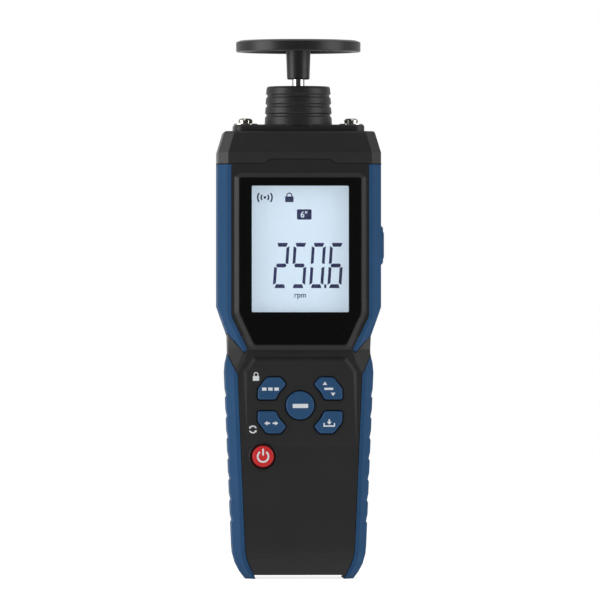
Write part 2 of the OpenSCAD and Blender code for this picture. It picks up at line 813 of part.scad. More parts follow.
// Rear case: the battery bay, the screw pillars and the tripod boss
module rear_pillars() {
    both_sides() {
        rod_y(top_screw[0], top_screw[1], boss_r, split_y + lug_gap, back_limit);
        for (p = [waist_screw, foot_screw])
            rod_y(p[0], p[1], boss_r, split_y, back_limit);
        rod_y(sensor_post[0], sensor_post[1], sensor_post_r, sensor_board_back, back_limit);
    }
    rod_y(0, tripod_z, insert_r + bay_wall, insert_front, back_limit);
}
module bay_walls() {
    difference() {
        centred_block(bay_half_w + bay_wall, bay_floor - bay_wall, handle_back_inner + fit_gap,
            bay_z - bay_wall, bay_top + bay_wall);
        centred_block(bay_half_w, bay_floor, handle_back, bay_z, bay_top);
        centred_block(outer_half, door_inner - fit_gap, handle_back, bay_z - bay_wall - cut, door_high + cut);
        both_sides()
            block([cell_pitch - tag_half_w - seat_gap, tag_y - seat_gap, bay_top - cut],
                [cell_pitch + tag_half_w + seat_gap, tag_y + tag_t + seat_gap, bay_top + bay_wall + cut]);
    }
}
module rear_case() {
    color(black_plastic)
        difference() {
            union() {
                difference() {
                    intersection() {
                        case_body();
                        centred_block(outer_half, split_y, back_limit, -cut, seam_z);
                    }
                    difference() {
                        cavity_form();
                        rear_pillars();
                    }
                    centred_block(door_half_w + mould_gap, door_inner - fit_gap, back_limit,
                        door_low - mould_gap, door_high + mould_gap);
                    centred_block(bay_half_w, split_y, back_limit, bay_z, bay_top);
                }
                bay_walls();
            }
            both_sides() {
                for (p = case_screw_places) {
                    rod_y(p[0], p[1], case_screw_r + mould_gap, split_y - cut, back_limit);
                    rod_y(p[0], p[1], case_head_r + mould_gap, screw_seat, back_limit);
                }
                rod_y(sensor_post[0], sensor_post[1], board_screw_r + fit_gap, sensor_board_back - cut,
                    sensor_board_back + sensor_screw_len);
                block([tab_x - tab_half_w - mould_gap, door_inner - tab_depth, door_low - mould_gap],
                    [tab_x + tab_half_w + mould_gap, handle_back, bay_z + cut]);
            }
            rod_y(0, tripod_z, insert_r + fit_gap, insert_front - fit_gap, back_limit);
            rod_y(0, tripod_z, insert_flange_r + fit_gap, insert_back - insert_flange_t - fit_gap,
                back_limit);
        }
}

// Head cap with its lip, the lugs that the top screws pass and the bosses of the nose inserts
cap_flank = flank_inset + lip_t;
cap_front = front_wall + lip_t;
cap_back = case_wall + lip_t;
cap_foot = [seam_z, head_half_w - seat_gap, head_flat + cap_face_gain, head_front, head_back];
cap_head = [cap_top, head_half_w - cap_taper, head_flat + cap_face_gain - cap_taper + seat_gap,
    head_front - cap_taper / 2, head_back - cap_taper / 2];
module cap_hollow(extra) {
    hollow = [raised(cap_foot, -lip_h - extra), raised(cap_foot, cap_skirt_h), raised(cap_head, -cap_roof)];
    loft([for (s = hollow) form_ring(s, cap_flank, cap_front, cap_back)]);
}
module cap_lip() {
    loft([for (dz = [-lip_h, cut])
        form_ring(raised(top_station, dz), flank_inset + seat_gap, front_wall + seat_gap,
            case_wall + seat_gap)]);
}
module cap_lugs() {
    both_sides()
        block([top_screw[0] - boss_r, lug_front, top_screw[1] - boss_r],
            [wall_inside - seat_gap, lug_front + lug_t, seam_z + cap_skirt_h]);
}
module head_cap() {
    color(cap_plastic)
        difference() {
            union() {
                loft(concat([for (s = [cap_foot, raised(cap_foot, cap_skirt_h), raised(cap_head, -cap_edge)])
                    form_ring(s, 0, 0, 0)], [form_ring(cap_head, cap_edge, cap_edge, cap_edge)]));
                cap_lip();
                cap_lugs();
            }
            difference() {
                cap_hollow(cut);
                cap_lugs();
                both_sides()
                    rod_z(nose_screw_x, 0, insert_boss_r, seam_z, cap_top);
            }
            both_sides() {
                block([top_screw[0] - boss_r - lug_gap, front_limit, seam_z - lip_h - cut],
                    [outer_half, lug_front, seam_z]);
                block([top_screw[0] - boss_r - lug_gap, lug_front + lug_t, seam_z - lip_h - cut],
                    [outer_half, back_limit, seam_z]);
                rod_z(nose_screw_x, 0, nose_insert_r + fit_gap, cap_top - nose_insert_len, cap_top + cut);
                rod_z(nose_screw_x, 0, nose_screw_r + mould_gap, flange_top - nose_screw_len - seat_gap,
                    cap_top);
                rod_y(top_screw[0], top_screw[1], case_screw_r + mould_gap, -head_front, head_back);
            }
            cap_tongue(seat_gap);
            rod_z(0, 0, spigot_r + fit_gap, seam_z, cap_top + cut);
        }
}

// Grips: the outer form less the body under it, inside the outline of each grip
module scalloped_form() {
    notch_w = scallop_pitch / 3;
    first = grip_top_z - scallop_pitch * 1.15;
    notch_z = [for (k = [scallop_count - 1:-1:0]) first - k * scallop_pitch];
    levels = concat([0, foot_arc_h * 0.2, foot_arc_h * 0.45, foot_arc_h * 0.75, foot_arc_h],
        [for (z = notch_z) if (z - notch_w > foot_arc_h) each [z - notch_w / 3, z, z + notch_w]]);
    loft(concat(
        [for (z = levels) outer_ring(handle_station(z), len(search(z, notch_z)) > 0 ? scallop_depth : 0)],
        [for (s = stations) if (s[0] > grip_top_z - cut && s[0] < waist_high) outer_ring(s, 0)]));
}
module upper_right_grip_form() {
    difference() {
        intersection() {
            outer_form();
            grip_window(upper_outline, seat_gap);
            centred_block(outer_half + button_rise, front_limit, back_limit, 0, seam_z - seat_gap);
        }
        core_form(grip_t - fit_gap);
    }
}
module upper_left_grip() {
    color(grip_blue)
        mirror([1, 0, 0])
            upper_right_grip_form();
}
module upper_right_grip() {
    color(grip_blue)
        difference() {
            union() {
                upper_right_grip_form();
                hull() {
                    button_prism(surround_margin, head_half_w - grip_t / 2, head_half_w);
                    button_prism(surround_margin - surround_rise, head_half_w, head_half_w + surround_rise);
                }
            }
            button_prism(mould_gap, 0, outer_half + surround_rise);
        }
}
module lower_right_grip() {
    color(grip_blue)
        difference() {
            intersection() {
                scalloped_form();
                grip_window(lower_outline, seat_gap);
                centred_block(outer_half, front_limit, back_limit, 0, waist_high);
            }
            core_form(grip_t - fit_gap);
        }
}
module lower_left_grip() {
    mirror([1, 0, 0])
        lower_right_grip();
}

// Battery door: a plate with two lower tabs, a thumb ridge and ribbing
module battery_door() {
    color(black_plastic)
        difference() {
            union() {
                centred_block(door_half_w, door_inner, handle_back, door_low, door_high);
                both_sides() {
                    block([tab_x - tab_half_w, handle_back_inner - mould_gap - tab_t, door_low],
                        [tab_x + tab_half_w, door_inner, door_low + tab_t]);
                    block([tab_x - tab_half_w, handle_back_inner - mould_gap - tab_t, door_low - tab_reach],
                        [tab_x + tab_half_w, handle_back_inner - mould_gap, door_low + tab_t]);
                }
            }
            for (k = [0:4])
                translate([0, handle_back, door_high - (k + 1.5) * grip_rib_pitch])
                    rotate([0, 90, 0])
                        cylinder(r = grip_rib_pitch / 3, h = 2 * thumb_half_w, center = true, $fn = small_fn);
        }
}
module tripod_insert() {
    color(brass)
        difference() {
            union() {
                rod_y(0, tripod_z, insert_r, insert_front, insert_back);
                rod_y(0, tripod_z, insert_flange_r, insert_back - insert_flange_t, insert_back);
            }
            rod_y(0, tripod_z, tripod_r, insert_back - tripod_depth, back_limit);
        }
}
module case_screws() {
    color(steel)
        both_sides()
            for (p = case_screw_places)
                difference() {
                    union() {
                        rod_y(p[0], p[1], case_screw_r, screw_seat - case_screw_len, screw_seat);
                        rod_y(p[0], p[1], case_head_r, screw_seat, screw_seat + case_head_h);
                    }
                    cross_recess(p[0], screw_seat + case_head_h, p[1], case_head_r);
                }
}
module cross_recess(x, y, z, r) {
    for (turn = [0, 90])
        translate([x, y, z])
            rotate([0, turn, 0])
                cube([r, r / 2, r / 4], center = true);
}

// Display
module display_lens() {
    color(lens_black)
        slab(frame_front, lens_back)
            polygon(lens_curve);
}
module frame_bar(half_w, z_low, z_high, wall, y_front, y_back) {
    difference() {
        centred_block(half_w, y_front, y_back, z_low, z_high);
        centred_block(half_w - wall, y_front - cut, y_back + cut, z_low + wall, z_high - wall);
    }
}
module display_gasket() {
    color([0.1, 0.1, 0.1])
        frame_bar(window_half_w + gasket_w, window_low - gasket_w, window_high + gasket_w, gasket_w,
            ledge_back, lcd_front);
}
module lcd_glass() {
    color(clear_panel)
        centred_block(lcd_half_w, lcd_front, light_front, lcd_low, lcd_high);
}
module backlight() {
    color("white")
        centred_block(lcd_half_w, light_front, light_back, lcd_low + lcd_ledge, lcd_high);
}
module lcd_holder() {
    color([0.92, 0.92, 0.9])
        difference() {
            centred_block(holder_half_w, lcd_front, board_front, holder_low, holder_high);
            centred_block(lcd_half_w + fit_gap, lcd_front - cut, light_back, lcd_low - fit_gap,
                lcd_high + fit_gap);
            centred_block(lcd_half_w + fit_gap, light_back - cut, board_front + cut, lcd_low - fit_gap,
                lcd_low + lcd_ledge - fit_gap);
        }
}
module contact_strip() {
    color("pink")
        centred_block(lcd_half_w - lcd_ledge, light_front, board_front, lcd_low + fit_gap,
            lcd_low + fit_gap + strip_t);
}

// Boards
module main_board() {
    color(board_green)
        difference() {
            slab(board_front, board_back)
                polygon(board_outline);
            both_sides() {
                rod_y(waist_screw[0], waist_screw[1], boss_r + mould_gap + fit_gap, board_front - cut,
                    board_back + cut);
                for (p = board_posts)
                    rod_y(p[0], p[1], board_screw_r + seat_gap, board_front - cut, board_back + cut);
            }
        }
}
module processor_chip() {
    color([0.08, 0.08, 0.08])
        centred_block(processor_half, board_back, board_back + chip_t, key_mid_z + board_low_half_w / 2,
            key_mid_z + board_low_half_w / 2 + 2 * processor_half);
}
module board_chips() {
    color([0.1, 0.1, 0.12])
        both_sides() {
            block([processor_half + chip_half_w, board_back, key_mid_z + 2 * chip_half_h],
                [processor_half + 3 * chip_half_w, board_back + chip_t, key_mid_z + 4 * chip_half_h]);
            rod_y(processor_half, tripod_z + 3 * processor_half, capacitor_r, board_back,
                board_back + capacitor_h);
        }
}
module board_screws() {
    color(steel)
        both_sides()
            for (p = board_posts) {
                rod_y(p[0], p[1], board_screw_r, board_back - board_screw_len, board_back);
                rod_y(p[0], p[1], board_screw_head_r, board_back, board_back + board_screw_head_h);
            }
}
module key_pads() {
    color("gold")
        for (p = concat(stem_places, round_places))
            rod_y(p[0], p[1], key_stem_r, board_front - pad_t, board_front);
}
module keypad_mat() {
    color([0.25, 0.3, 0.35])
        difference() {
            centred_block(board_low_half_w - 2 * post_r - mat_margin, board_front - mat_t, board_front,
                board_low + mat_margin, grip_top_z);
            for (p = concat(stem_places, round_places))
                rod_y(p[0], p[1], key_stem_r + stem_gap, board_front - 2 * mat_t, board_front + cut);
        }
}

// A key: its cap with a softened edge, the flange behind the case and the stem above its pad
module key_body(outline, stem) {
    loft([ring_at(outline, key_flange_front + fit_gap), ring_at(outline, key_front + key_edge),
        ring_at(inset(outline, key_edge), key_front)]);
    slab(key_flange_front, key_flange_front + key_flange_t)
        polygon(inset(outline, -key_flange_w));
    rod_y(stem[0], stem[1], key_stem_r, key_flange_front + key_flange_t / 2, key_back);
}
module upper_left_key() { color(key_blue) key_body(key_outline(1, 1), stem_places[0]); }
module lower_left_key() { color(key_blue) key_body(key_outline(1, -1), stem_places[1]); }
module upper_right_key() { color(key_blue) key_body(key_outline(-1, 1), stem_places[2]); }
module lower_right_key() { color(key_blue) key_body(key_outline(-1, -1), stem_places[3]); }
module round_key(place, r) {
    translate([place[0], 0, place[1]])
        rotate([90, 0, 0])
            rotate_extrude($fn = round_fn)
                polygon([[0, -key_back], [key_stem_r, -key_back],
                    [key_stem_r, -key_flange_front - key_flange_t],
                    [r + key_flange_w, -key_flange_front - key_flange_t],
                    [r + key_flange_w, -key_flange_front], [r, -key_flange_front],
                    [r, -key_front - key_edge], [r - key_edge, -key_front], [0, -key_front]]);
}
module centre_key() { color(key_blue) round_key(round_places[0], centre_key_r); }
module power_key() { color(key_red) round_key(round_places[1], power_key_r); }

// Side button, its switch and the plunger between them
module side_button() {
    color(grip_blue) {
        button_prism(0, button_flange_x + fit_gap, button_face - key_edge);
        hull() {
            button_prism(0, button_face - 2 * key_edge, button_face - key_edge);
            button_prism(-key_edge, button_face - key_edge, button_face);
        }
        button_prism(button_flange_w, button_flange_x, button_flange_x + button_flange_t);
    }
}
module side_switch() {
    color([0.1, 0.1, 0.1])
        difference() {
            block([switch_face - switch_w, board_back, button_z - switch_half_h],
                [switch_face, board_back + switch_d, button_z + switch_half_h]);
            translate([switch_face - plunger_sink - mould_gap - button_travel, button_y, button_z])
                rotate([0, 90, 0])
                    cylinder(r = plunger_r + fit_gap, h = switch_w, $fn = small_fn);
        }
}
module switch_plunger() {
    color("red")
        translate([switch_face - plunger_sink, button_y, button_z])
            rotate([0, 90, 0])
                cylinder(r = plunger_r, h = plunger_sink + plunger_show, $fn = small_fn);
}

// Nose
module nose_collar() {
    rib_pitch = nose_h / rib_count;
    color(cap_plastic) {
        difference() {
            union() {
                rotate_extrude($fn = round_fn)
                    polygon(concat([[0, spigot_end], [spigot_r, spigot_end], [spigot_r, flange_top],
                        [nose_foot_r, flange_top]],
                        [for (k = [0:rib_count - 1]) each rib_profile(k, rib_pitch)], [[0, nose_top]]));
                translate([0, 0, cap_top])
                    linear_extrude(height = flange_t - flange_edge)
                        rounded_rect(flange_half_w, flange_half_d, flange_corner_r);
                translate([0, 0, flange_top - flange_edge])
                    linear_extrude(height = flange_edge)
                        rounded_rect(flange_half_w - flange_edge, flange_half_d - flange_edge,
                            flange_corner_r - flange_edge);
            }
            rod_z(0, 0, bearing_r + fit_gap / 2, spigot_end - cut, upper_bearing_top);
            rod_z(0, 0, shaft_collar_r + seat_gap, spigot_end, nose_top + cut);
            both_sides()
                rod_z(nose_screw_x, 0, nose_screw_r + mould_gap, cap_top - cut, flange_top + cut);
            translate([0, 0, spigot_end + circlip_t])
                cylinder(r = bearing_r + circlip_t / 2, h = circlip_t, $fn = round_fn);
        }
    }
}
// One barrel-edged rib of the nose with the groove above it
function rib_profile(k, pitch) =
    let (z = flange_top + k * pitch, band = pitch * (1 - groove_share))
    let (r_low = mix(nose_foot_r, nose_top_r, k / rib_count))
    let (r_high = mix(nose_foot_r, nose_top_r, (k + 1) / rib_count))
    let (last = k == rib_count - 1, top = last ? z + pitch : z + band)
    concat(
        k == 0 ? [[r_low, z]] : [[r_low - groove_depth / 2, z], [r_low, z + groove_depth]],
        last
            ? [[r_high, top - nose_edge], [r_high - nose_edge * 0.3, top - nose_edge * 0.3],
                [r_high - nose_edge, top]]
            : [[r_high, top - groove_depth], [r_high - groove_depth / 2, top],
                [r_high - groove_depth, top + groove_depth / 2],
                [r_high - groove_depth, z + pitch - groove_depth / 2]]);
module nose_pair() {
    both_sides()
        translate([nose_screw_x, 0, 0])
            children();
}
module flat_washers() {
    color(steel)
        nose_pair()
            tube_z(washer_r, nose_screw_r + seat_gap, flange_top, flange_top + washer_t);
}
module spring_washers() {
    color(steel)
        nose_pair()
            difference() {
                tube_z(spring_washer_r, nose_screw_r + seat_gap, flange_top + washer_t,
                    flange_top + washer_t + spring_washer_t);
                translate([0, -spring_washer_slit / 2, flange_top])
                    cube([washer_r, spring_washer_slit, washer_r]);
            }
}
nose_seat = flange_top + washer_t + spring_washer_t;
module nose_screws() {
    color(steel)
        nose_pair()
            difference() {
                union() {
                    rod_z(0, 0, nose_screw_r, flange_top - nose_screw_len, nose_seat);
                    translate([0, 0, nose_seat])
                        rotate_extrude($fn = small_fn)
                            polygon([[0, 0], [nose_head_r, 0], [nose_head_r, nose_head_h * 0.4],
                                [nose_head_r * 0.86, nose_head_h * 0.8], [nose_head_r * 0.6, nose_head_h],
                                [0, nose_head_h]]);
                }
                for (turn = [0, 90])
                    translate([0, 0, nose_seat + nose_head_h])
                        rotate([0, 0, turn])
                            cube([nose_head_r * 1.1, nose_head_r / 4, nose_head_h], center = true);
            }
}
module nose_inserts() {
    color(brass)
        nose_pair()
            tube_z(nose_insert_r, nose_screw_r + running_gap, cap_top - nose_insert_len, cap_top);
}

// Bearings, from races with a round groove
module race(r_in, r_out, z) {
    translate([0, 0, z])
        rotate_extrude($fn = round_fn)
            difference() {
                translate([r_in, 0])
                    square([r_out - r_in, bearing_w]);
                translate([pitch_r, bearing_w / 2])
                    circle(r = groove_r, $fn = small_fn);
            }
}
bearing_levels = [lower_bearing_z, upper_bearing_z];
module bearing_outer_races() {
    color(steel)
        for (z = bearing_levels)
            race(bearing_r - race_wall, bearing_r, z);
}
module bearing_inner_races() {
    color(steel)
        for (z = bearing_levels)
            race(shaft_r + running_gap, shaft_r + race_wall, z);
}
module ball_ring(z) {
    for (k = [0:ball_count - 1])
        rotate([0, 0, 360 * k / ball_count])
            translate([pitch_r, 0, z + bearing_w / 2])
                children();
}
module bearing_balls() {
    color(steel)
        for (z = bearing_levels)
            ball_ring(z)
                sphere(r = ball_r, $fn = small_fn);
}
module bearing_cages() {
    color(brass)
        for (z = bearing_levels)
            difference() {
                tube_z(pitch_r + cage_half_w, pitch_r - cage_half_w, z + bearing_w / 2 - cage_half_h,
                    z + bearing_w / 2 + cage_half_h);
                ball_ring(z)
                    sphere(r = ball_r + fit_gap, $fn = small_fn);
            }
}
module outer_spacer() {
    color(cap_plastic)
        tube_z(bearing_r, bearing_r - spacer_wall, lower_bearing_top, upper_bearing_z);
}
module inner_spacer() {
    color(brass)
        tube_z(shaft_r + spacer_wall, shaft_r + running_gap, lower_bearing_top, upper_bearing_z);
}
module bore_circlip() {
    color(steel)
        difference() {
            tube_z(bearing_r + circlip_t / 2 - fit_gap, bearing_r - circlip_w,
                lower_bearing_z - circlip_t + fit_gap, lower_bearing_z);
            translate([0, -circlip_w, lower_bearing_z - 2 * circlip_t])
                cube([2 * bearing_r, 2 * circlip_w, 2 * circlip_t + cut]);
        }
}
module shaft_circlip() {
    color(steel)
        difference() {
            tube_z(shaft_r + circlip_w, shaft_r - circlip_t / 4, lower_bearing_z - circlip_t + fit_gap,
                lower_bearing_z);
            translate([0, -circlip_w / 2, lower_bearing_z - 2 * circlip_t])
                cube([2 * bearing_r, circlip_w, 2 * circlip_t + cut]);
        }
}
// Spindle: a ground bar with a shoulder over the upper bearing, a groove for its ring and a drive flat
module spindle() {
    neck = shaft_r - circlip_t / 4 - fit_gap;
    color(steel)
        difference() {
            rotate_extrude($fn = round_fn)
                polygon([[0, shaft_end], [shaft_r - shaft_chamfer, shaft_end],
                    [shaft_r, shaft_end + shaft_chamfer], [shaft_r, lower_bearing_z - circlip_t],
                    [neck, lower_bearing_z - circlip_t],
                    [neck, lower_bearing_z], [shaft_r, lower_bearing_z], [shaft_r, upper_bearing_top],
                    [shaft_collar_r, upper_bearing_top], [shaft_collar_r, nose_top - shaft_chamfer],
                    [shaft_r, nose_top - shaft_chamfer], [shaft_r, shaft_tip - shaft_chamfer],
                    [shaft_r - shaft_chamfer, shaft_tip], [0, shaft_tip]]);
            block([shaft_r - flat_depth, -shaft_r, hub_z + hub_h / 6],
                [shaft_r + cut, shaft_r, shaft_tip + cut]);
        }
}
module encoder_hub() {
    color(brass)
        translate([0, 0, disc_z + disc_t])
            difference() {
                union() {
                    cylinder(r = hub_flange_r, h = hub_flange_t, $fn = round_fn);
                    cylinder(r = hub_sleeve_r, h = hub_sleeve_len, $fn = round_fn);
                }
                translate([0, 0, -cut])
                    cylinder(r = shaft_r + running_gap, h = hub_sleeve_len + 2 * cut, $fn = round_fn);
            }
}
module encoder_disc() {
    color(steel)
        difference() {
            tube_z(disc_r, shaft_r + running_gap, disc_z, disc_z + disc_t);
            for (k = [0:slot_count - 1])
                rotate([0, 0, 360 * k / slot_count])
                    translate([disc_r - 1.4 * slot_len, -slot_w / 2, disc_z - cut])
                        cube([slot_len, slot_w, disc_t + 2 * cut]);
        }
}

// Surface wheel: rim, shallow web on both faces, tapered hub and a bore with a flat
module surface_wheel() {
    rim_in = wheel_r - wheel_rim_w;
    color([0.2, 0.2, 0.2])
        difference() {
            rotate_extrude($fn = 2 * round_fn)
                polygon([[0, hub_z], [hub_end_r - wheel_edge, hub_z], [hub_end_r, hub_z + wheel_edge],
                    [hub_root_r, rim_z + web_recess], [rim_in, rim_z + web_recess],
                    [rim_in + web_recess, rim_z], [wheel_r - wheel_edge, rim_z],
                    [wheel_r, rim_z + wheel_edge], [wheel_r, wheel_top - wheel_edge],
                    [wheel_r - wheel_edge, wheel_top], [rim_in + web_recess, wheel_top],
                    [rim_in, wheel_top - web_recess], [0, wheel_top - web_recess]]);
            difference() {
                rod_z(0, 0, shaft_r + running_gap, hub_z - cut, shaft_tip + seat_gap);
                block([shaft_r - flat_depth + fit_gap, -shaft_r - cut, hub_z + hub_h / 6 + seat_gap],
                    [shaft_r + cut, shaft_r + cut, shaft_tip + cut]);
            }
        }
}

// Optical sensor: a fork round the rim of the disc, on its own board
module optical_sensor() {
    color([0.1, 0.1, 0.1])
        difference() {
            block([-sensor_half_w, disc_r - sensor_reach, disc_z - sensor_slot_gap - sensor_arm],
                [sensor_half_w, sensor_back, disc_z + disc_t + sensor_slot_gap + sensor_arm]);
            block([-sensor_half_w - cut, disc_r - sensor_reach - cut, disc_z - sensor_slot_gap],
                [sensor_half_w + cut, disc_r + sensor_gap, disc_z + disc_t + sensor_slot_gap]);
        }
}
module sensor_board() {
    color(board_green)
        difference() {
            centred_block(sensor_board_half_w, sensor_back, sensor_board_back, sensor_board_low,
                sensor_board_high);
            both_sides()
                rod_y(sensor_post[0], sensor_post[1], board_screw_r + seat_gap, sensor_back - cut,
                    sensor_board_back + cut);
        }
}
module sensor_board_screws() {
    color(steel)
        both_sides() {
            rod_y(sensor_post[0], sensor_post[1], board_screw_r, sensor_back, sensor_back + sensor_screw_len);
            rod_y(sensor_post[0], sensor_post[1], board_screw_head_r, sensor_back - board_screw_head_h,
                sensor_back);
        }
}
// Flat ribbon between the two boards, seen from the side
module sensor_ribbon() {
    start = [sensor_back, sensor_board_low + 3 * ribbon_t];
    end = [board_back, sensor_board_low - 2 * ribbon_half_w];
    turn = (start[0] - end[0]) / 3;
    path = [start, start - [turn, 0], [start[0] - 1.5 * turn, (start[1] + end[1]) / 2], end + [turn, 0], end];
    color([0.7, 0.7, 0.72])
        translate([-ribbon_half_w, 0, 0])
            rotate([90, 0, 90])
                linear_extrude(height = 2 * ribbon_half_w)
                    polygon(concat([for (p = path) p - [0, ribbon_t / 2]],
                        [for (k = [len(path) - 1:-1:0]) path[k] + [0, ribbon_t / 2]]));
}

// Cells, springs and plates of the bay
module battery_cells() {
    color([0.25, 0.25, 0.28])
        for (k = [0:2])
            translate([(k - 1) * cell_pitch, cell_y, cell_z[k] + (k == 1 ? cell_len : 0)])
                rotate([k == 1 ? 180 : 0, 0, 0]) {
                    cylinder(r = cell_r, h = cell_len - nub_h, $fn = round_fn);
                    translate([0, 0, cell_len - nub_h])
                        cylinder(r = nub_r, h = nub_h, $fn = small_fn);
                }
}
module cell_spring() {
    steps = spring_turns * spring_steps;
    rise = spring_len - 2 * spring_wire_r;
    wire([for (k = [0:steps])
        let (a = 360 * k / spring_steps, r = mix(spring_r, spring_tip_r, k / steps))
        [r * cos(a), r * sin(a), spring_wire_r + rise * k / steps]], spring_wire_r, 6);
}
module battery_springs() {
    color(steel) {
        for (k = [-1, 1])
            translate([k * cell_pitch, cell_y, low_plate])
                cell_spring();
        translate([0, cell_y, high_plate])
            rotate([180, 0, 0])
                cell_spring();
    }
}
module battery_contacts() {
    color(steel) {
        for (k = [-1:1])
            block([k * cell_pitch - plate_half, cell_y - plate_half, bay_z],
                [k * cell_pitch + plate_half, cell_y + plate_half, low_plate]);
        for (k = [-1:1])
            block([k * cell_pitch - plate_half, cell_y - plate_half, high_plate],
                [k * cell_pitch + plate_half, cell_y + plate_half, bay_top]);
        both_sides()
            block([cell_pitch - tag_half_w, tag_y, high_plate], [cell_pitch + tag_half_w, tag_y + tag_t,
                bay_top + tag_rise]);
    }
}
module battery_lead(side) {
    x = side * cell_pitch;
    top = bay_top + tag_rise;
    wire([[x, tag_y - lead_r, top - lead_r], [x, tag_y - 2 * lead_r, top + 2 * lead_r],
        [x - side * lead_r, (tag_y + board_back) / 2, top + 3 * lead_r],
        [x - side * 2 * lead_r, board_back + 2 * lead_r, top + 3 * lead_r],
        [x - side * 2 * lead_r, board_back, top + 3 * lead_r]], lead_r, 8);
}
module positive_lead() {
    color("red")
        battery_lead(-1);
}
module negative_lead() {
    color([0.1, 0.1, 0.1])
        battery_lead(1);
}

front_case();
rear_case();
head_cap();
upper_left_grip();
upper_right_grip();
lower_left_grip();
lower_right_grip();
battery_door();
tripod_insert();
case_screws();
display_lens();
display_gasket();
lcd_glass();
backlight();
lcd_holder();
contact_strip();
main_board();
processor_chip();
board_chips();
board_screws();
key_pads();
keypad_mat();
upper_left_key();
upper_right_key();
centre_key();
lower_left_key();
lower_right_key();
power_key();
side_button();
side_switch();
switch_plunger();
nose_collar();
nose_screws();
spring_washers();
flat_washers();
nose_inserts();
bearing_outer_races();
outer_spacer();
bore_circlip();
bearing_balls();
bearing_cages();
spindle();
bearing_inner_races();
inner_spacer();
shaft_circlip();
encoder_hub();
encoder_disc();
surface_wheel();
optical_sensor();
sensor_board();
sensor_board_screws();
sensor_ribbon();
battery_cells();
battery_springs();
battery_contacts();
positive_lead();
negative_lead();
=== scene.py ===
"""Contact tachometer: the looks of its pieces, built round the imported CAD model."""

import logging
import math
from dataclasses import dataclass, field
from enum import Enum
from typing import Callable, Iterable

import bmesh
import bpy
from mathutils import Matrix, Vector
from mathutils.bvhtree import BVHTree


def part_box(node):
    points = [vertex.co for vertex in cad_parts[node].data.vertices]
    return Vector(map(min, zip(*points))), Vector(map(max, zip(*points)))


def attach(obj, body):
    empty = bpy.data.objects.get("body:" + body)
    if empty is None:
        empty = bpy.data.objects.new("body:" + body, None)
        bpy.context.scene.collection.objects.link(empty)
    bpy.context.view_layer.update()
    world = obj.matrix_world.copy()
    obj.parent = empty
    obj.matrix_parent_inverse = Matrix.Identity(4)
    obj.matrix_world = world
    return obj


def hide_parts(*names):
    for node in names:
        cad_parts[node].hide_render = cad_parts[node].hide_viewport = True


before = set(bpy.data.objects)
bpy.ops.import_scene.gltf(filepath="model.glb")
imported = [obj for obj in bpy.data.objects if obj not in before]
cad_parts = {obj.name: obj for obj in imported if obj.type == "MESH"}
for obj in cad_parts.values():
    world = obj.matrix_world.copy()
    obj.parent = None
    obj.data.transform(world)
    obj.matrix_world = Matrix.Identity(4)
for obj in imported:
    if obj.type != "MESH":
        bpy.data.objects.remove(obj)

Point = tuple[float, float]
Outline = list[Point]
Level = tuple[float, float]
Tree = bpy.types.NodeTree
Socket = bpy.types.NodeSocket
Vert = bmesh.types.BMVert

MM = 0.001
SENSOR_MM = 36.0
PRINT_T = 0.03
LONGEST_BEND_SHARE = 0.48
SHARPEST_BEND_SHARE = 0.5
log = logging.getLogger("tachometer")


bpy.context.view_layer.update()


# Colours


def linear(hex_colour: str) -> tuple[float, float, float, float]:
    """Turns an sRGB hex colour into the linear colour that a shader takes.

    Args:
        hex_colour: the colour as "#rrggbb".

    Returns:
        Red, green, blue and an alpha of one.
    """
    shares = [int(hex_colour[i:i + 2], 16) / 255 for i in (1, 3, 5)]
    red, green, blue = (s / 12.92 if s <= 0.04045 else ((s + 0.055) / 1.055) ** 2.4 for s in shares)
    return red, green, blue, 1.0


def add_node(tree: Tree, kind: str, inputs: dict[str | int, object] | None = None,
             links: dict[str | int, Socket] | None = None, **settings: object) -> bpy.types.Node:
    """Adds one shader node with its settings, values and links.

    Args:
        tree: the node tree that takes the node.
        kind: Blender's type name of the node.
        inputs: value of each input socket, by its name or number.
        links: output socket that feeds each input socket, by its name or number.
        settings: properties of the node itself.

    Returns:
        The new node.
    """
    made = tree.nodes.new(kind)
    for key, value in settings.items():
        setattr(made, key, value)
    for socket, value in (inputs or {}).items():
        made.inputs[socket].default_value = value
    for socket, source in (links or {}).items():
        tree.links.new(source, made.inputs[socket])
    return made


def empty_tree(owner: bpy.types.Material | bpy.types.World) -> Tree:
    """Clears the node tree of a material or a world.

    Args:
        owner: what the tree belongs to.

    Returns:
        The empty tree.
    """
    owner.use_nodes = True
    owner.node_tree.nodes.clear()
    return owner.node_tree


# Finishes


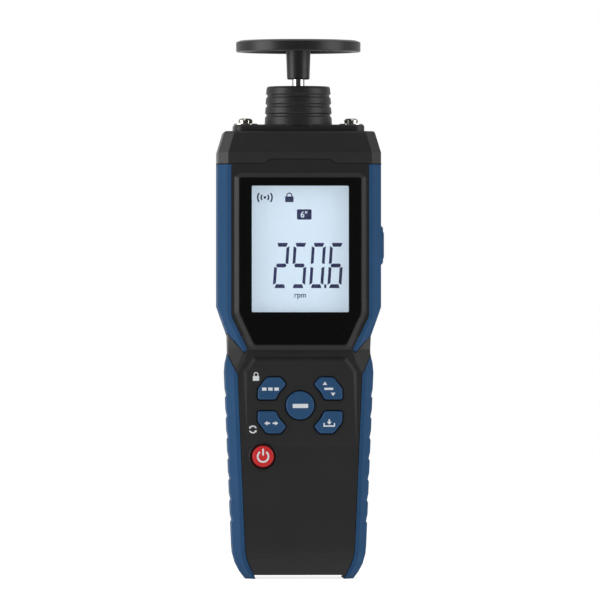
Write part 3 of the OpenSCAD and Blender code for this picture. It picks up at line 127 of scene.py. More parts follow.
@dataclass(frozen=True)
class Finish:
    """A surface as its shader draws it; the sizes of its patterns are in millimetres."""

    title: str
    colour: str
    shade: str
    roughness: float
    patch_mm: float = 18.0
    grain_mm: float = 0.5
    grain_depth_mm: float = 0.012
    roughness_spread: float = 0.06
    metallic: float = 0.0
    ior: float = 1.5
    specular: float = 0.5
    edge_mm: float = 0.18
    stretch: tuple[float, float, float] = (1.0, 1.0, 1.0)
    colour_ramp: tuple[float, float] = (0.35, 0.65)
    grain_range: tuple[float, float] = (0.3, 0.7)
    least_roughness: float = 0.02
    noise_detail: float = 3.0
    edge_samples: int = 4

    def material(self) -> bpy.types.Material:
        """Returns the material of this finish, made once and then shared."""
        known = bpy.data.materials.get(self.title)
        return known if known else self.build()

    def build(self) -> bpy.types.Material:
        """Makes the material: colour in slow patches, roughness and bump in a fine grain.

        Returns:
            The new material.
        """
        made = bpy.data.materials.new(self.title)
        tree = empty_tree(made)
        place = add_node(tree, "ShaderNodeTexCoord").outputs["Object"]
        grain = self.pattern(tree, place, self.grain_mm, self.stretch)
        patches = self.pattern(tree, place, self.patch_mm)
        sockets = {
            "Base Color": self.blend_colours(tree, patches),
            "Roughness": self.roughness_socket(tree, grain),
            "Normal": self.bump(tree, grain),
        }
        values = {"Metallic": self.metallic, "Specular IOR Level": self.specular}
        if self.metallic == 0.0:
            values["IOR"] = self.ior
        values.update(self.extra_values())
        shader = add_node(tree, "ShaderNodeBsdfPrincipled", values, sockets)
        add_node(tree, "ShaderNodeOutputMaterial", links={"Surface": shader.outputs["BSDF"]})
        return made

    def pattern(self, tree: Tree, place: Socket, size_mm: float,
                stretch: tuple[float, float, float] = (1.0, 1.0, 1.0)) -> Socket:
        """Adds a noise whose features have a real size.

        Args:
            tree: the material's node tree.
            place: coordinates in metres.
            size_mm: size of a feature in millimetres.
            stretch: how often the feature repeats along each axis, as shares of that size.

        Returns:
            The noise value.
        """
        scaled = add_node(tree, "ShaderNodeMapping", {"Scale": stretch}, {"Vector": place})
        noise = add_node(tree, "ShaderNodeTexNoise",
                         {"Scale": 1.0 / (size_mm * MM), "Detail": self.noise_detail},
                         {"Vector": scaled.outputs["Vector"]})
        return noise.outputs["Fac"]

    def blend_colours(self, tree: Tree, patches: Socket) -> Socket:
        """Lets the colour drift between its two tones.

        Args:
            tree: the material's node tree.
            patches: the slow noise.

        Returns:
            The colour.
        """
        ramp = add_node(tree, "ShaderNodeValToRGB", links={"Fac": patches})
        low, high = ramp.color_ramp.elements
        low.position, high.position = self.colour_ramp
        low.color, high.color = linear(self.shade), linear(self.colour)
        return ramp.outputs["Color"]

    def roughness_socket(self, tree: Tree, grain: Socket) -> Socket:
        """Lets the roughness follow the grain.

        Args:
            tree: the material's node tree.
            grain: the fine noise.

        Returns:
            The roughness.
        """
        low = max(self.roughness - self.roughness_spread, self.least_roughness)
        high = min(self.roughness + self.roughness_spread, 1.0)
        darkest, palest = self.grain_range
        ranged = add_node(tree, "ShaderNodeMapRange",
                          {"From Min": darkest, "From Max": palest, "To Min": low, "To Max": high},
                          {"Value": grain})
        return ranged.outputs["Result"]

    def bump(self, tree: Tree, grain: Socket) -> Socket:
        """Raises the grain on a surface whose edges are rounded off.

        Args:
            tree: the material's node tree.
            grain: the fine noise.

        Returns:
            The normal.
        """
        edge = add_node(tree, "ShaderNodeBevel", {"Radius": self.edge_mm * MM},
                        samples=self.edge_samples)
        raised = add_node(tree, "ShaderNodeBump",
                          {"Strength": 1.0, "Distance": self.grain_depth_mm * MM},
                          {"Height": grain, "Normal": edge.outputs["Normal"]})
        return raised.outputs["Normal"]

    def extra_values(self) -> dict[str, object]:
        """Returns further values of the shader's own sockets."""
        return {}


@dataclass(frozen=True)
class ClearSheet(Finish):
    """A clear sheet that light passes straight through, seen by its gloss alone."""

    cover: float = 0.12

    def extra_values(self) -> dict[str, object]:
        """Returns the share of the light that the sheet itself sends back."""
        return {"Alpha": self.cover}


@dataclass(frozen=True)
class LitPanel(Finish):
    """A panel with a faint light of its own."""

    glow_colour: str = "#ffffff"
    glow: float = 0.3

    def extra_values(self) -> dict[str, object]:
        """Returns the colour and strength of the panel's own light."""
        return {"Emission Color": linear(self.glow_colour), "Emission Strength": self.glow}


@dataclass(frozen=True)
class CoatedFinish(Finish):
    """A surface under a thin clear layer."""

    coat: float = 0.5
    coat_roughness: float = 0.08

    def extra_values(self) -> dict[str, object]:
        """Returns the weight and roughness of the clear layer."""
        return {"Coat Weight": self.coat, "Coat Roughness": self.coat_roughness}


# ABS, moulded in a spark-eroded tool: a dry satin whose 0.1 mm pits, drawn 0.45 mm wide so
# that they show, break the light softly.
CASE_ABS = Finish("abs_black_spark_textured", "#1c1c1c", "#181818", 0.46, grain_mm=0.45,
                  grain_depth_mm=0.010, specular=0.35, edge_mm=0.3)
# ABS of the cap, from a finer tool: a touch greyer and smoother than the shells.
CAP_ABS = Finish("abs_black_cap_moulded", "#262626", "#222222", 0.42, grain_mm=0.45,
                 grain_depth_mm=0.008, specular=0.42, edge_mm=0.3)
# TPE, overmoulded: a soft, nearly matte blue with a broad pale sheen at its edges.
GRIP_TPE = Finish("tpe_blue_overmoulded", "#214c75", "#1f4870", 0.66, grain_mm=0.6,
                  grain_depth_mm=0.012, specular=0.2, edge_mm=0.3)
# Silicone keys, moulded and hard-coated: smooth satin blue.
KEY_SILICONE = Finish("silicone_blue_key_moulded", "#234d76", "#20486f", 0.42, grain_mm=0.5,
                      grain_depth_mm=0.005, specular=0.34, edge_mm=0.3)
# The same silicone in red: clear and warm, with the same satin.
RED_SILICONE = Finish("silicone_red_key_moulded", "#d62a2c", "#cb2326", 0.4, grain_mm=0.5,
                      grain_depth_mm=0.005, specular=0.4, edge_mm=0.15)
# PMMA, cast and printed black on the back: deep black under an even gloss.
LENS_PRINT = Finish("pmma_black_back_printed", "#101011", "#0f0f10", 0.06, ior=1.49,
                    specular=0.2, grain_mm=3.0, grain_depth_mm=0.0005, roughness_spread=0.01)
# PMMA, cast, clear: only a faint gloss over the panel behind it.
LENS_CLEAR = ClearSheet("pmma_clear_cast", "#f4f7fa", "#eef2f6", 0.04, ior=1.49, specular=0.3,
                        grain_mm=3.0, grain_depth_mm=0.0003, roughness_spread=0.01, cover=0.03)
# EPDM foam, die-cut: matte black with open cells of about 0.4 mm. The same black is also laid as
# painted shade in the seams round the cap and the grips.
GASKET_FOAM_AND_SEAM_SHADE = Finish("epdm_foam_die_cut_and_painted_shade", "#1a1a1a", "#141414", 0.9, grain_mm=0.4,
                     grain_depth_mm=0.08, specular=0.2)
# Glass of the liquid crystal panel under its polariser film: an even pale blue, faintly lit.
PANEL_GLASS = LitPanel("lcd_glass_polarised", "#b7c7d4", "#b1c2d3", 0.28, patch_mm=60.0,
                       specular=0.2, grain_mm=1.5, grain_depth_mm=0.0005,
                       glow_colour="#cbdceb", glow=0.58)
# Liquid crystal segments, switched dark: flat navy without a gloss of their own.
SEGMENT_INK = Finish("lcd_segment_navy", "#0e1a5c", "#0d1855", 0.5, specular=0.05,
                     grain_depth_mm=0.0005, edge_mm=0.02)
# Acrylic, milky, moulded: an even white that hides what lies behind.
DIFFUSER = Finish("pmma_milky_moulded", "#e8ecf0", "#e0e6ec", 0.4, grain_depth_mm=0.003)
# ABS, natural white, moulded: a clean dry white.
WHITE_ABS = Finish("abs_white_moulded", "#e4e6e6", "#dcdfe0", 0.5, grain_mm=0.4,
                   grain_depth_mm=0.004)
# White ink, screen-printed on the keys and the case: flat and even, with crisp edges.
PRINT_WHITE = Finish("ink_white_screen_printed", "#e9ecee", "#e1e5e8", 0.6, grain_mm=0.3,
                     grain_depth_mm=0.003, specular=0.3, edge_mm=0.02)
# Silicone of the key mat and the contact strip: dull dark grey with a skin-like grain.
MAT_SILICONE = Finish("silicone_grey_moulded", "#3a3c3f", "#333538", 0.7, grain_mm=0.5,
                      grain_depth_mm=0.008, specular=0.3)
# Glass-epoxy board under green solder mask: glossy, with the 0.4 mm weave showing through.
BOARD_MASK = CoatedFinish("fr4_green_masked", "#1d5a34", "#174c2b", 0.45, grain_mm=0.4,
                          grain_depth_mm=0.012, coat=0.6)
# Epoxy moulding compound of the chips: charcoal, dry, finely pitted.
CHIP_EPOXY = Finish("epoxy_chip_moulded", "#232427", "#1d1e20", 0.6, grain_mm=0.2,
                    grain_depth_mm=0.006)
# Copper, gold-plated: warm and bright, slightly brushed.
GOLD_PLATE = Finish("gold_plated_copper", "#e3b55a", "#d8a94f", 0.26, metallic=1.0, grain_mm=0.3,
                    grain_depth_mm=0.002)
# Steel, nickel-plated: bright and a little yellow, with fine plating pits.
NICKEL = Finish("nickel_plated_steel", "#cfccc4", "#c2bfb7", 0.16, metallic=1.0, grain_mm=0.4,
                grain_depth_mm=0.002, roughness_spread=0.05, edge_mm=0.12)
# Steel, black zinc: dark grey metal with a dull gleam.
BLACK_ZINC = Finish("steel_black_zinc", "#3a3a3c", "#2f2f31", 0.36, metallic=1.0, grain_mm=0.3,
                    grain_depth_mm=0.003, edge_mm=0.12)
# Brass, turned: yellow, with 0.3 mm tool rings round the part.
TURNED_BRASS = Finish("brass_turned", "#c9a55a", "#b9954d", 0.28, metallic=1.0, grain_mm=0.3,
                      grain_depth_mm=0.004, stretch=(0.1, 0.1, 1.0))
# ABS of the nose, moulded in a polished tool: a satin black that draws long soft lights.
NOSE_ABS = Finish("abs_black_nose_moulded", "#282828", "#232323", 0.4, grain_mm=0.5,
                  grain_depth_mm=0.002, specular=0.32, edge_mm=0.2)
# Bearing steel, ground: nearly mirror-bright with hair-fine rings.
BEARING_STEEL = Finish("bearing_steel_ground", "#bfc1c4", "#b2b4b8", 0.14, metallic=1.0,
                       grain_mm=0.2, grain_depth_mm=0.001, stretch=(0.1, 0.1, 1.0))
# Aluminium, turned: paler and softer than the steel beside it.
SPACER_ALUMINIUM = Finish("aluminium_turned", "#c3c5c8", "#b7b9bd", 0.32, metallic=1.0,
                          grain_mm=0.3, grain_depth_mm=0.003, stretch=(0.1, 0.1, 1.0))
# Spring steel, phosphated: dark, dry metal.
SPRING_STEEL = Finish("spring_steel_phosphated", "#4a4b4d", "#3f4042", 0.45, metallic=1.0,
                      grain_mm=0.3, grain_depth_mm=0.003)
# Steel, ground and hard-chromed: clear bright reflections with faint rings of 0.2 mm.
HARD_CHROME = Finish("steel_hard_chromed", "#d2d4d6", "#c8cacd", 0.12, metallic=1.0, grain_mm=0.2,
                     grain_depth_mm=0.0008, roughness_spread=0.03, stretch=(0.08, 0.08, 1.0))
# Acetal of the wheel, turned: satin black whose tool rings of 0.35 mm draw the lights out.
WHEEL_ACETAL = Finish("acetal_black_turned", "#232323", "#1e1e1e", 0.36, ior=1.48, grain_mm=0.35,
                      grain_depth_mm=0.0012, specular=0.4, stretch=(0.15, 0.15, 1.0),
                      roughness_spread=0.03, edge_mm=0.1)
# Polyimide ribbon, laminated: translucent amber, drawn as a glossy solid.
RIBBON_FILM = Finish("polyimide_laminated", "#9a5a1e", "#8a4e18", 0.3, grain_mm=0.8,
                     grain_depth_mm=0.003)
# Heat-shrunk PVC jacket of the cells: smooth dark green-grey.
CELL_JACKET = CoatedFinish("pvc_jacket_shrunk", "#2f4a44", "#29423c", 0.35, grain_mm=1.2,
                           grain_depth_mm=0.004, coat=0.4)
# PVC insulation, extruded, of the two leads: waxy red and black.
RED_PVC = Finish("pvc_red_extruded", "#b52222", "#a81d1d", 0.45, grain_depth_mm=0.004)
BLACK_PVC = Finish("pvc_black_extruded", "#1c1c1c", "#171717", 0.45, grain_depth_mm=0.004)

FINISH_OF_SLOT = {
    "black_case": CASE_ABS, "cap_black": CAP_ABS, "blue_grip": GRIP_TPE, "blue_key": KEY_SILICONE,
    "red_key": RED_SILICONE, "lens": LENS_PRINT, "gasket": GASKET_FOAM_AND_SEAM_SHADE, "lcd": PANEL_GLASS,
    "diffuser": DIFFUSER, "white_plastic": WHITE_ABS, "elastomer": MAT_SILICONE,
    "board": BOARD_MASK, "chip": CHIP_EPOXY, "gold_plate": GOLD_PLATE, "nickel": NICKEL,
    "black_screw": BLACK_ZINC, "brass_insert": TURNED_BRASS, "nose_black": NOSE_ABS,
    "bearing_steel": BEARING_STEEL, "spacer": SPACER_ALUMINIUM, "spring_steel": SPRING_STEEL,
    "chromed_shaft": HARD_CHROME, "wheel_black": WHEEL_ACETAL, "ribbon": RIBBON_FILM,
    "cell_jacket": CELL_JACKET, "red_lead": RED_PVC, "black_lead": BLACK_PVC,
}


# Outlines, in millimetres


class Side(Enum):
    """Left or right half of the instrument, as seen from the front."""

    LEFT = -1
    RIGHT = 1


class Row(Enum):
    """Upper or lower row of the key cluster."""

    UPPER = 1
    LOWER = -1


def rounded(points: Outline, radius: float, steps: int = 5) -> Outline:
    """Rounds the corners of a closed outline.

    Args:
        points: the corners.
        radius: distance from a corner at which its bend starts.
        steps: pieces of each bend.

    Returns:
        The rounded outline.
    """
    count = len(points)
    path: Outline = []
    for i, corner in enumerate(points):
        here = Vector(corner)
        ends = []
        for near in (points[i - 1], points[(i + 1) % count]):
            run = Vector(near) - here
            ends.append(here + run * min(radius / run.length, LONGEST_BEND_SHARE))
        for k in range(steps + 1):
            t = k / steps
            spot = ends[0] * (1 - t) ** 2 + here * 2 * t * (1 - t) + ends[1] * t ** 2
            path.append((spot.x, spot.y))
    return path


def inset(points: Outline, distance: float) -> Outline:
    """Draws an outline in, or out where the distance is negative.

    Args:
        points: the outline, which turns left.
        distance: how far each side moves inwards.

    Returns:
        The new outline.
    """
    if distance == 0:
        return list(points)
    count = len(points)
    drawn: Outline = []
    for i, point in enumerate(points):
        before = Vector(point) - Vector(points[i - 1])
        after = Vector(points[(i + 1) % count]) - Vector(point)
        first = Vector((-before.y, before.x)).normalized()
        second = Vector((-after.y, after.x)).normalized()
        mitre = (first + second) / (1 + first.dot(second))
        spot = Vector(point) + mitre * distance
        drawn.append((spot.x, spot.y))
    return drawn


def shifted(points: Outline, right: float, up: float) -> Outline:
    """Returns an outline moved to the right and up."""
    return [(x + right, z + up) for x, z in points]


def moved(shapes: list[Outline], middle: Point) -> list[Outline]:
    """Returns outlines about the origin, moved to their place."""
    return [shifted(shape, *middle) for shape in shapes]


def rectangle(half_w: float, half_h: float) -> Outline:
    """Returns a rectangle about the origin, from its half width and half height."""
    return [(-half_w, -half_h), (half_w, -half_h), (half_w, half_h), (-half_w, half_h)]


def arc(radius: float, start: float, end: float, steps: int = 24) -> Outline:
    """Returns points on an arc about the origin, between two angles in degrees."""
    angles = [math.radians(start + (end - start) * k / steps) for k in range(steps + 1)]
    return [(radius * math.cos(a), radius * math.sin(a)) for a in angles]


def circle(radius: float, sides: int) -> Outline:
    """Returns a circle about the origin, from its radius and its number of sides."""
    return arc(radius, 0, 360 * (1 - 1 / sides), sides - 1)


def arc_band(radius: float, width: float, start: float, end: float) -> Outline:
    """Returns a band of even width along an arc about the origin, between two angles."""
    outer = arc(radius + width / 2, start, end)
    return outer + arc(radius - width / 2, end, start)


def stroke(path: Outline, width: float) -> Outline:
    """Draws a band of even width along an open path.

    Args:
        path: the points of the path.
        width: width of the band.

    Returns:
        The outline of the band.
    """
    left: Outline = []
    right: Outline = []
    last = len(path) - 1
    for i, point in enumerate(path):
        run_in = (Vector(point) - Vector(path[max(i - 1, 0)])).normalized()
        run_out = (Vector(path[min(i + 1, last)]) - Vector(point)).normalized()
        run = (run_in + run_out).normalized()
        reach = width / 2
        if 0 < i < last:
            reach /= max(math.sqrt((1 + run_in.dot(run_out)) / 2), SHARPEST_BEND_SHARE)
        side = Vector((-run.y, run.x)) * reach
        left.append(tuple(Vector(point) + side))
        right.append(tuple(Vector(point) - side))
    return right + left[::-1]


def quarter(radius: float, steps: int = 4) -> list[Level]:
    """Returns how far the points of a quarter round lie from its two straight sides."""
    turns = [math.pi / 2 * k / steps for k in range(steps + 1)]
    return [(radius * (1 - math.sin(turn)), radius * (1 - math.cos(turn))) for turn in turns]


def edge_levels(back: float, front: float, radius: float, steps: int = 4) -> list[Level]:
    """Returns pairs of height and inset of a plate whose front edge is rounded."""
    return [(back, 0.0)] + [(front - drop, gap) for drop, gap in quarter(radius, steps)]


# Marks, in millimetres about their own middle


def arrow(tail: float, neck: float, tip: float, shaft_half: float, head_half: float) -> Outline:
    """Returns an arrow along the first axis, from its tail past its neck to its tip."""
    return [(tail, -shaft_half), (neck, -shaft_half), (neck, -head_half), (tip, 0),
            (neck, head_half), (neck, shaft_half), (tail, shaft_half)]


@dataclass(frozen=True)
class Padlock:
    """A closed padlock, about the middle of its body."""

    half_w: float
    half_h: float
    bow_r: float
    bow_rise: float
    leg: float
    line: float
    bow_steps: int = 12

    def outlines(self) -> list[Outline]:
        """Draws the padlock.

        Returns:
            The outlines of its body and of its bow.
        """
        foot = self.bow_rise - self.leg
        bow = shifted(arc(self.bow_r, 0, 180, self.bow_steps), 0, self.bow_rise)
        path = [(self.bow_r, foot)] + bow + [(-self.bow_r, foot)]
        return [rectangle(self.half_w, self.half_h), stroke(path, self.line)]


@dataclass(frozen=True)
class Signal:
    """A dot between two pairs of arcs, as for a signal that is sent out."""

    dot_r: float = 0.5
    dot_sides: int = 16
    line: float = 0.6
    arcs: tuple[tuple[float, float], ...] = ((1.45, 42), (2.8, 38))

    def outlines(self) -> list[Outline]:
        """Draws the signal.

        Returns:
            The outlines of its dot and of its arcs.
        """
        shapes = [circle(self.dot_r, self.dot_sides)]
        for radius, reach in self.arcs:
            for turn in (0, 180):
                shapes.append(arc_band(radius, self.line, turn - reach, turn + reach))
        return shapes


@dataclass(frozen=True)
class KeyMarks:
    """The white marks of the keys and the cycle mark beside them."""

    bar_half: Point = (0.85, 0.6)
    bar_pitch: float = 2.4
    dash_half: Point = (3.0, 0.8)
    dash_round: float = 0.2
    step_half: Point = (1.7, 0.42)
    wedge_half: float = 0.9
    wedge_base: float = 0.6
    wedge_tip: float = 0.7
    wedge_up: Point = (-1.5, 2.1)
    wedge_down: Point = (1.7, -2.1)
    arrow_tail: float = 0.5
    arrow_neck: float = 1.5
    arrow_tip: float = 2.7
    arrow_half: float = 0.3
    arrow_head_half: float = 0.85
    drop_tail: float = 1.5
    drop_neck: float = 0.55
    drop_tip: float = -0.55
    drop_head_half: float = 0.95
    tray_half: float = 2.0
    tray_top: float = 0.1
    tray_floor: float = -1.1
    tray_line: float = 0.5
    ring_r: float = 2.1
    ring_line: float = 0.68
    ring_turns: tuple[float, float] = (125, 415)
    ring_stem_half_share: float = 0.62
    ring_stem_rise_share: float = 0.82
    cycle_r: float = 1.3
    cycle_line: float = 0.52
    cycle_starts: tuple[float, float] = (20, 200)
    cycle_sweep: float = 120
    cycle_head_half: float = 0.55
    cycle_head: float = 0.75

    def bars(self) -> list[Outline]:
        """Returns a row of three short bars."""
        return [shifted(rectangle(*self.bar_half), self.bar_pitch * k, 0) for k in (-1, 0, 1)]

    def dash(self) -> list[Outline]:
        """Returns one long bar."""
        return [rounded(rectangle(*self.dash_half), self.dash_round)]

    def steps(self) -> list[Outline]:
        """Draws a rising mark, a bar and a falling mark, stepping to the right.

        Returns:
            The three outlines.
        """
        half, base, tip = self.wedge_half, self.wedge_base, self.wedge_tip
        up = shifted([(-half, -base), (half, -base), (0, tip)], *self.wedge_up)
        down = shifted([(-half, base), (0, -tip), (half, base)], *self.wedge_down)
        return [up, rectangle(*self.step_half), down]

    def opposite_arrows(self) -> list[Outline]:
        """Draws two arrows that point away from each other.

        Returns:
            The outlines of the arrows.
        """
        right = arrow(self.arrow_tail, self.arrow_neck, self.arrow_tip, self.arrow_half,
                      self.arrow_head_half)
        return [right, [(-u, v) for u, v in reversed(right)]]

    def arrow_to_tray(self) -> list[Outline]:
        """Draws an arrow that points down into a tray.

        Returns:
            The outlines of the arrow and of the tray.
        """
        drop = arrow(self.drop_tail, self.drop_neck, self.drop_tip, self.arrow_half,
                     self.drop_head_half)
        half, top, floor = self.tray_half, self.tray_top, self.tray_floor
        tray = stroke([(-half, top), (-half, floor), (half, floor), (half, top)], self.tray_line)
        return [[(u, v) for v, u in drop], tray]

    def power(self) -> list[Outline]:
        """Draws a ring that is open at the top, with a stem in the opening.

        Returns:
            The outlines of the ring and of the stem.
        """
        ring = arc_band(self.ring_r, self.ring_line, *self.ring_turns)
        stem = rectangle(self.ring_line / 2, self.ring_r * self.ring_stem_half_share)
        return [ring, shifted(stem, 0, self.ring_r * self.ring_stem_rise_share)]

    def cycle(self) -> list[Outline]:
        """Draws two arrows that chase each other round a circle.

        Returns:
            The outlines of their arcs and heads.
        """
        shapes = []
        for start in self.cycle_starts:
            end = start + self.cycle_sweep
            shapes.append(arc_band(self.cycle_r, self.cycle_line, start, end))
            tip = math.radians(end)
            out = Vector((math.cos(tip), math.sin(tip)))
            along = Vector((-out.y, out.x))
            head = [out * (self.cycle_r - self.cycle_head_half),
                    out * (self.cycle_r + self.cycle_head_half),
                    out * self.cycle_r + along * self.cycle_head]
            shapes.append([tuple(p) for p in head])
        return shapes


# Meshes


class Plane(Enum):
    """The plane in which an outline is drawn; its height grows out of the instrument."""

    FRONT = "front"
    RIGHT = "right"
    TOP = "top"

    def place(self, u: float, v: float, height: float) -> Vector:
        """Puts a point of an outline into the instrument's frame.

        Args:
            u: the outline's first coordinate.
            v: the outline's second coordinate.
            height: distance from the spindle axis, or from the feet in the top plane.

        Returns:
            The point in millimetres.
        """
        if self is Plane.FRONT:
            return Vector((u, -height, v))
        if self is Plane.RIGHT:
            return Vector((height, u, v))
        return Vector((u, v, height))


class Draft:
    """A mesh in the making, in millimetres."""

    def __init__(self) -> None:
        """Starts an empty mesh."""
        self.mesh = bmesh.new()

    def ring(self, points: Iterable[Vector]) -> list[Vert]:
        """Returns new vertices at the points, in their order."""
        return [self.mesh.verts.new(p) for p in points]

    def bridge(self, first: list[Vert], second: list[Vert]) -> None:
        """Joins two closed rings of the same length with faces.

        Args:
            first: the first ring.
            second: the second ring.
        """
        count = len(first)
        for i in range(count):
            j = (i + 1) % count
            self.mesh.faces.new((first[i], first[j], second[j], second[i]))

    def cover(self, rings: list[list[Vert]]) -> None:
        """Fills the flat face inside the first ring and outside the others.

        Args:
            rings: the outer ring and the rings of the holes.
        """
        if len(rings) == 1:
            self.mesh.faces.new(rings[0])
            return
        if len(rings) == 2 and len(rings[0]) == len(rings[1]):
            self.bridge(rings[0], rings[1])
            return
        edges = []
        for ring in rings:
            for i, vert in enumerate(ring):
                edges.append(self.mesh.edges.get((vert, ring[(i + 1) % len(ring)])))
        bmesh.ops.triangle_fill(self.mesh, edges=edges, use_beauty=True, use_dissolve=False)

    def plate(self, plane: Plane, outline: Outline, levels: list[Level],
              holes: Iterable[Outline] = ()) -> None:
        """Adds a plate whose edge follows the levels.

        Args:
            plane: the plane of the outline.
            outline: the outer edge, which turns left.
            levels: pairs of height and inset, from one face to the other.
            holes: edges of its holes, which turn left too.
        """
        stacks = []
        for points, sign in [(outline, 1.0)] + [(hole, -1.0) for hole in holes]:
            stack = []
            for height, gap in levels:
                edge = inset(points, sign * gap)
                stack.append(self.ring(plane.place(u, v, height) for u, v in edge))
            stacks.append(stack)
        for stack in stacks:
            for low, high in zip(stack, stack[1:]):
                self.bridge(low, high)
        self.cover([stack[0] for stack in stacks])
        self.cover([stack[-1] for stack in stacks])

    def sheet(self, outline: Outline, front: Callable[[float], float], thickness: float) -> None:
        """Adds a thin print that lies on a front face.

        Args:
            outline: its edge in x and z.
            front: depth of the face in front of the spindle axis, by height.
            thickness: how far the print stands proud of the face.
        """
        low = self.ring(Vector((x, -front(z), z)) for x, z in outline)
        high = self.ring(Vector((x, -front(z) - thickness, z)) for x, z in outline)
        self.bridge(low, high)
        self.cover([low])
        self.cover([high])

    def turned(self, profile: Outline, sides: int) -> None:
        """Adds a body of revolution about the spindle axis.

        Args:
            profile: closed outline of radius and height; a radius of nought lies on the axis.
            sides: number of sides round the axis.
        """
        columns = []
        axis_verts: dict[int, Vert] = {}
        for k in range(sides):
            turn = math.tau * k / sides
            column = []
            for i, (radius, z) in enumerate(profile):
                if radius > 0:
                    spot = (radius * math.cos(turn), radius * math.sin(turn), z)
                    column.append(self.mesh.verts.new(spot))
                    continue
                if i not in axis_verts:
                    axis_verts[i] = self.mesh.verts.new((0.0, 0.0, z))
                column.append(axis_verts[i])
            columns.append(column)
        count = len(profile)
        for k, column in enumerate(columns):
            after = columns[(k + 1) % sides]
            for i in range(count):
                j = (i + 1) % count
                corners = list(dict.fromkeys((column[i], column[j], after[j], after[i])))
                if len(corners) > 2:
                    self.mesh.faces.new(corners)

    def made(self, name: str, finish: Finish, body: str, slot: str | None = None,
             replaces: Iterable[str] = (), sharp: float = 40.0) -> None:
        """Turns the draft into a piece of the instrument.

        Args:
            name: name of the piece.
            finish: its surface.
            body: the moving body that it rides on.
            slot: the record's material slot, where it has one; not used.
            replaces: the CAD nodes that it stands for.
            sharp: angle in degrees above which an edge stays sharp.
        """
        bmesh.ops.recalc_face_normals(self.mesh, faces=self.mesh.faces)
        bmesh.ops.scale(self.mesh, vec=(MM, MM, MM), verts=self.mesh.verts)
        data = bpy.data.meshes.new(name)
        self.mesh.to_mesh(data)
        self.mesh.free()
        data.shade_smooth()
        data.set_sharp_from_angle(angle=math.radians(sharp))
        data.materials.append(finish.material())
        piece = new_object(name, data)
        weighted = piece.modifiers.new("flat_faces_stay_flat", "WEIGHTED_NORMAL")
        weighted.keep_sharp = True
        settle(piece, body, replaces)


def new_object(name: str, data: bpy.types.ID) -> bpy.types.Object:
    """Puts an object into the scene.

    Args:
        name: its name.
        data: its mesh, letters, lamp or camera.

    Returns:
        The new object.
    """
    made = bpy.data.objects.new(name, data)
    bpy.context.scene.collection.objects.link(made)
    return made


def settle(piece: bpy.types.Object, body: str,
           replaces: Iterable[str] = ()) -> None:
    """Fixes a new piece to its body and reports it.

    Args:
        piece: the piece, in its place.
        body: the moving body that it rides on.
        replaces: the CAD nodes that it stands for.
    """
    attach(piece, body)
    if replaces:
        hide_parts(*replaces)
    log.info("built %s on %s", piece.name, body)


def build_print(name: str, shapes: Iterable[Outline], front: Callable[[float], float],
                finish: Finish, body: str, slot: str | None = None) -> None:
    """Builds a thin print that lies on a front face.

    Args:
        name: name of the piece.
        shapes: its outlines in x and z.
        front: depth of the face in front of the spindle axis, by height.
        finish: its surface.
        body: the moving body that it rides on.
        slot: the record's material slot, where it has one.
    """
    draft = Draft()
    for shape in shapes:
        draft.sheet(shape, front, PRINT_T)
    draft.made(name, finish, body, slot)


def dress(node: str, finish: Finish) -> None:
    """Gives a CAD node its surface.

    Args:
        node: name of the node.
        finish: its surface.
    """
    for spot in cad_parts[node].material_slots:
        spot.material = finish.material()
    log.info("dressed %s", node)


def box_mm(node: str) -> tuple[Vector, Vector]:
    """Returns the lowest and highest corners of a CAD node in millimetres."""
    low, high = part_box(node)
    return low / MM, high / MM


# Sub-assemblies


@dataclass
class CaseShells:
    """The two shells, the cap, the battery door, their screws and the tripod insert."""

    nodes: tuple[str, ...] = ("front_case", "rear_case", "battery_door")

    def build(self) -> None:
        """Dresses the shells and what is fixed to them."""
        for node in self.nodes:
            dress(node, CASE_ABS)
        dress("head_cap", CAP_ABS)
        dress("case_screws", BLACK_ZINC)
        dress("tripod_insert", TURNED_BRASS)


@dataclass
class PaintedSeamShade:
    """A painted shade: a thin dark sheet along the gap between the cap and what lies below it,
    where the gap's shadow falls.
    """

    seam_z: float = 161.3
    tongue_top: float = 163.0
    tongue_half: float = 13.6
    tongue_run: float = 1.9
    front: float = 17.0
    front_half: float = 26.4
    facet: Point = (28.3, 16.3)
    flank: Point = (31.7, 12.9)
    back_flank: Point = (31.7, -11.8)
    back: Point = (26.4, -16.6)
    width: float = 0.34
    thickness: float = 0.02

    def build(self) -> None:
        """Builds the painted shade line across the front and round both flanks."""
        gap = Draft()
        half, run = self.tongue_half, self.tongue_run
        path = [(-self.front_half, self.seam_z), (-half, self.seam_z),
                (run - half, self.tongue_top), (half - run, self.tongue_top),
                (half, self.seam_z), (self.front_half, self.seam_z)]
        gap.sheet(stroke(path, self.width), lambda _height: self.front, self.thickness)
        for side in Side:
            corners = [(self.front_half, self.front), self.facet, self.flank, self.back_flank,
                       self.back]
            band = stroke([(side.value * x, -y) for x, y in corners], 2 * self.thickness)
            levels = [(self.seam_z - self.width / 2, 0.0), (self.seam_z + self.width / 2, 0.0)]
            gap.plate(Plane.TOP, band, levels)
        # The dark foam finish draws the gap's shadow here as painted shade.
        gap.made("cap_seam_painted_shade", GASKET_FOAM_AND_SEAM_SHADE, "case", "gasket")


